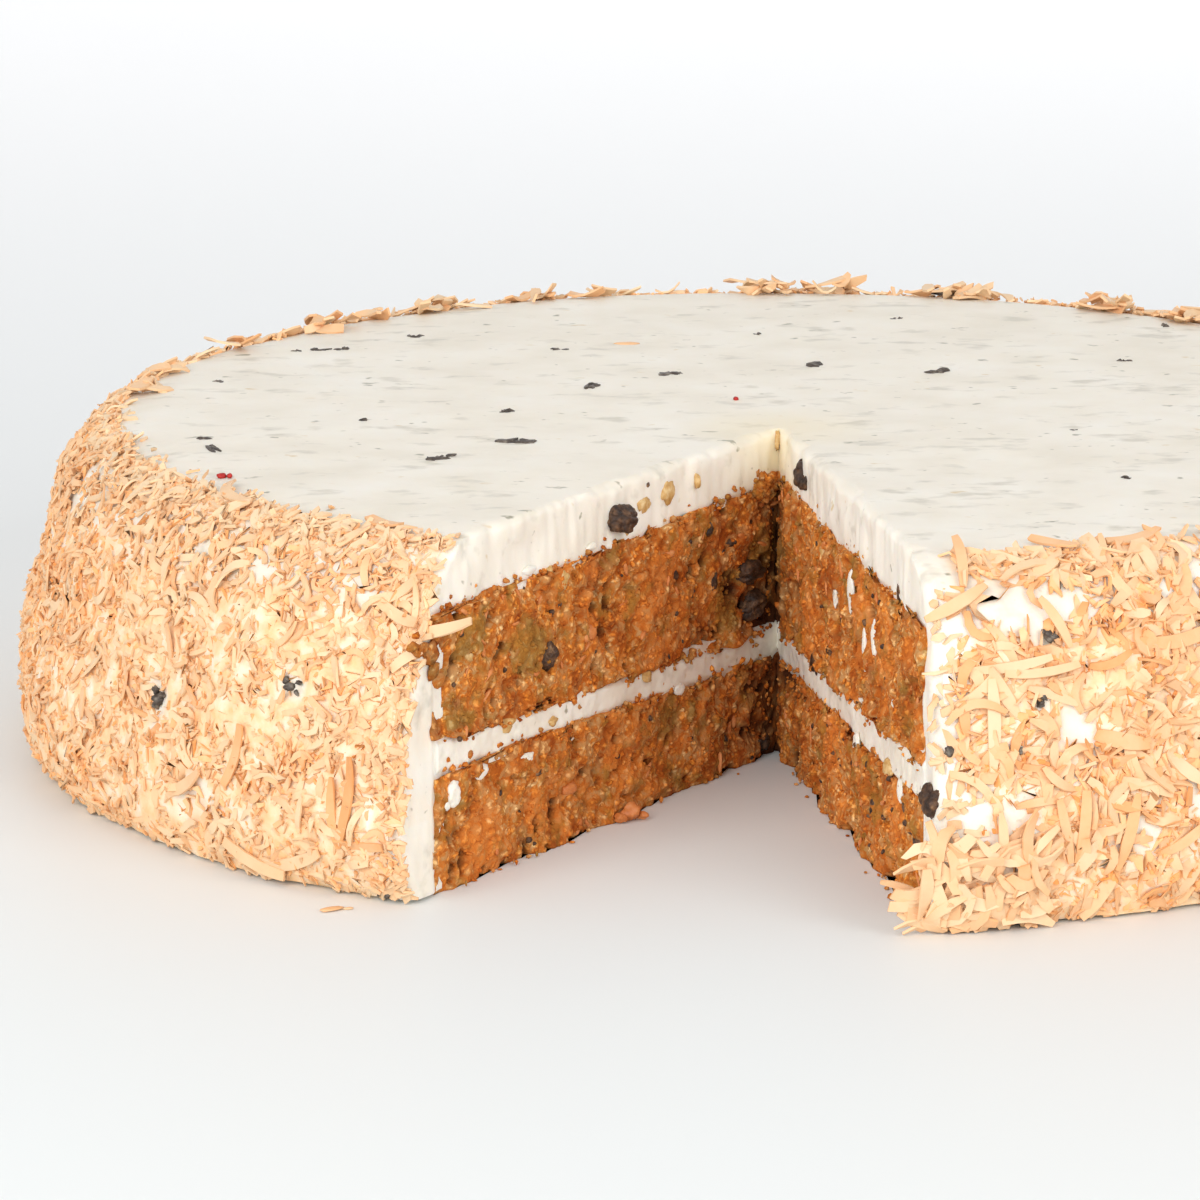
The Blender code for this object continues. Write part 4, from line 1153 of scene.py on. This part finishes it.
# Coconut: desiccated shreds, toasted in the oven. They are thin and curled, pale in the middle and golden
# brown at the edges and ends. Those beneath get a warmer, brighter copy of the colour: painted light for the
# light that comes back golden between the shreds.
toastStops = {
    "toastedCoconut": [
        (0.0, "#EED1AA"), (0.25, "#EEC99E"), (0.5, "#EDBD8D"), (0.75, "#E9AC73"), (1.0, "#D99354")],
    # the bed's copy is warmer and brighter: painted light for the golden light that bounces between the
    # shreds
    "toastedCoconutBedPaintedBounce": [
        (0.0, "#FAD8B2"), (0.25, "#FACB99"), (0.5, "#F8BE82"), (0.75, "#F3AA63"), (1.0, "#E59044")],
}


def coconutMaterial(name):
    material, tree, place = newMaterial(name, {"Roughness": 0.5, "IOR": 1.45})
    toast = addNode(tree, "Attribute", output="Fac", attribute_name="toast")
    uneven = addNode(tree, "Math", {0: mottle(tree, place, 2.2 * mm, 3), 1: 0.3, 2: -0.15},
                     operation="MULTIPLY_ADD")
    total = addNode(tree, "Math", {0: toast, 1: uneven}, operation="ADD")
    colour = addNode(tree, "ValToRGB", {"Fac": total}, stops=toastStops[name])
    finishMaterial(tree, colour, mottle(tree, place, 0.9 * mm, 2), 0.12 * mm, 0.5)
    return material


def shredScale(turn):  # the shreds are finer round the left of the cake than at its front right
    return np.interp(np.degrees(turn) % 360, (0, 60, 170, 240, 268, 310, 360),
                     (0.82, 0.75, 0.58, 0.6, 0.84, 0.88, 0.8))


def clearOfCuts(points):  # which strips leave the cuts, the bare icing and the far rim free
    flat = points.reshape(-1, 3)
    wobble = waves(flat, coconut["edgeWobble"])
    inner = np.zeros(len(flat), bool)
    for side, other in bothSides:
        near = sliceDepth(flat, side) > -(bareDepth(flat, side) + wobble)
        inner |= near & (sliceDepth(flat, other) > 0)
    keep = inner.reshape(len(points), -1).mean(axis=1) < 0.34
    keep &= ~insideSlice(flat, 1.2 * mm).reshape(len(points), -1).any(axis=1)
    middles = points.mean(axis=(1, 2))
    dice = latticeRandom(np.floor(middles / (0.01 * mm)).astype(np.int64), 99)
    keep &= dice > 0.9 * thinCoat(middles)
    farRim = (middles[:, 2] > 48.5 * mm) & (middles[:, 1] > 0)
    return keep & ~(farRim & (dice < 0.45))


def makeStrips(name, sections, turn, along, heading, length, width, thick, lift, endLift, bend, arch,
               roll, twist, toast, material, checkSlice=True):
    # Many curved strips at once, each laid over the surface it starts on
    corners = 4
    rings, tones = [], []
    radius = np.interp(along, sideLength, sideLine[:, 0])
    narrow = 0.15 + 0.45 * ((toast * 37) % 1)  # each tapers to its ends by its own share
    for step in np.linspace(-1, 1, sections):
        forward = length / 2 * step
        sideways = bend * (step ** 2 - 0.33)
        around = forward * np.cos(heading) - sideways * np.sin(heading)
        upward = forward * np.sin(heading) + sideways * np.cos(heading)
        points, normals, up, side = surfaceAt(turn + around / radius, along + upward)
        slope = heading + 2 * bend * step / (length / 2)
        tangent = side * np.cos(slope)[:, None] + up * np.sin(slope)[:, None]
        across = np.cross(normals, tangent)
        tilt = roll + twist * step
        flat = normals * np.cos(tilt)[:, None] + across * np.sin(tilt)[:, None]
        wide = across * np.cos(tilt)[:, None] - normals * np.sin(tilt)[:, None]
        rise = lift + endLift * (0.5 + 0.5 * step * np.sign(twist)) ** 2 + arch * (step ** 2 - 0.5)
        middle = points + normals * rise[:, None]
        half = wide * (width / 2 * (1 - narrow * abs(step) ** 2.4))[:, None]
        deep = flat * (thick / 2)
        tone = toast + 0.14 * abs(step) ** 2
        rings.append(np.stack([middle - half - deep, middle + half - deep, middle + half + deep,
                               middle - half + deep], axis=1))
        # the two corners on the underside, towards the icing, get 0.1 more toast: painted shade under each
        # shred
        tones.append(np.stack([tone + 0.1, tone + 0.1, tone, tone], axis=1))
    points = np.stack(rings, axis=1)  # strip, section, corner
    tones = np.stack(tones, axis=1)
    below = 0.15 * mm - points[..., 2].min(axis=(1, 2))  # those at the foot are pushed up onto it
    points[..., 2] += np.clip(below, 0, 4 * mm)[:, None, None]
    keep = (below < 4 * mm) & (points[..., 2].max(axis=(1, 2)) < cadBox[1].z)
    if checkSlice:
        keep &= clearOfCuts(points)
    points, tones = points[keep], tones[keep]
    start = np.arange(len(points))[:, None] * sections * corners
    section = start[:, :, None] + np.arange(sections - 1)[None, :, None] * corners
    corner = np.arange(corners)
    after = (corner + 1) % corners
    onward = section + corners
    quads = np.stack([section + corner, section + after, onward + after, onward + corner], axis=-1)
    end = start + (sections - 1) * corners
    quads = np.concatenate([quads.reshape(-1, 4), start + corner[::-1], end + corner])
    piece = makeMesh(name, points.reshape(-1, 3), quads, material)
    piece.data.set_sharp_from_angle(angle=math.radians(48))
    setAttribute(piece, "toast", np.clip(tones.reshape(-1), 0, 1))
    finishPiece(piece, "icing", "icing")
    print(name, "made,", len(piece.data.polygons) * 2, "triangles")


def strewShreds(rng, kind, turn, along, material, scale=None, browningAndRimLight=0.0, checkSlice=True):
    # Draws each shred's shape from its kind's ranges
    sections, length, width, thick, lift, endLift, bend, arch, roll, twist, toast = coconut["shreds"][kind]
    count = len(turn)
    heading = rng.uniform(0, math.pi, count)
    share = rng.random(count) if scale is None else rng.beta(1.6, 2.2, count)
    lengths = length[0] + (length[1] - length[0]) * share
    scale = mm if scale is None else scale * mm
    makeStrips(
        "coconut" + kind, sections, turn, along, heading, lengths * scale,
        rng.uniform(*width, count) * scale, thick * mm, rng.uniform(*lift, count) * mm,
        rng.uniform(*endLift, count) * mm, rng.normal(0, bend, count) * mm, rng.normal(0, arch, count) * mm,
        rng.normal(0, roll, count), rng.uniform(0.1, twist, count) * rng.choice([-1, 1], count),
        rng.uniform(*toast, count) + browningAndRimLight, material, checkSlice)


def makeCoconut():
    # the shreds beneath take the warmer copy of the colour: painted light between the shreds
    material, deep = coconutMaterial("toastedCoconut"), coconutMaterial("toastedCoconutBedPaintedBounce")
    rng = np.random.default_rng(coconut["seed"])
    top = sideLength[-1]
    for kind, count in coconut["counts"].items():
        turn = rng.uniform(0, 2 * math.pi, count)
        along = rng.uniform(0.8 * mm, top - 6.5 * mm, count)
        onRim = rng.random(count) < coconut["rimShare"]
        along = np.where(onRim, top - 8 * mm + rng.exponential(coconut["coverTop"], count), along)
        browningAndRimLight = np.interp(np.degrees(turn), (262, 280, 330, 360), (0, 0.12, 0.12, 0))
        # shreds near the top edge are made 0.2 less toasted: partly paler coconut, partly painted light for
        # the rim, which the lamps reach only weakly
        browningAndRimLight -= 0.2 * (along > top - 12 * mm)
        strewShreds(rng, kind, turn, along, deep if "Bed" in kind else material, shredScale(turn), browningAndRimLight)
    turn = np.repeat(coconut["rimClumps"], coconut["clumpSize"])
    count = len(turn)
    turn = np.radians(turn + rng.normal(0, 1.0, count))
    strewShreds(rng, "Rim", turn, top - rng.uniform(1.0, 7.5, count) * mm, material)
    count = coconut["footClump"]  # a clump that hangs over the right cut's foot
    turn = np.radians(rng.uniform(276.4, 286, count))
    strewShreds(rng, "Clump", turn, rng.uniform(0.6, 14, count) * mm, material, checkSlice=False)
    count = coconut["strays"]  # beside the cuts
    onLeft = rng.random(count) < coconut["leftStrays"]
    turn = np.radians(np.where(onLeft, rng.uniform(237.8, 241.5, count), rng.uniform(278.0, 281.0, count)))
    strewShreds(rng, "Strays", turn, rng.uniform(0.6, 50, count) * mm, material, checkSlice=False)
    turn, along, heading, length, width, lift, endLift, bend, toast = np.array(coconut["heroes"], float).T
    count = len(turn)
    makeStrips(
        "coconutHeroes", 9, np.radians(turn), along * mm, np.radians(heading), length * mm, width * 0.72 * mm,
        0.38 * mm, lift * mm, endLift * mm, bend * mm, rng.normal(0, 0.3, count) * mm,
        rng.normal(0, 0.15, count), rng.uniform(0.1, 0.5, count), toast, material, checkSlice=False)
    rows = np.array(coconut["fallen"], float)
    turns = np.radians(rows[:, 6:7]) * np.array([[0, 0, 1]])
    places, sizes = rows[:, :3] * mm, rows[:, 3:6] * mm
    fallen, each = makeLumps("coconutFallen", places, sizes, turns, material, "icing", 314, 2, 0.2)
    setAttribute(fallen, "toast", np.repeat(rows[:, 7], each))
    print("coconut made")


makeCamera()
makeStudio()
icingBody = makeIcing()
makeCrumbLayers()
makeCrumbGrains()
cream = icingBody.data.materials[0]
makeFilling(cream)
skin = bitMaterial("bakedRaisinSkin")
makeRaisins(skin)
makeBits(cream, skin)
makeCoconut()
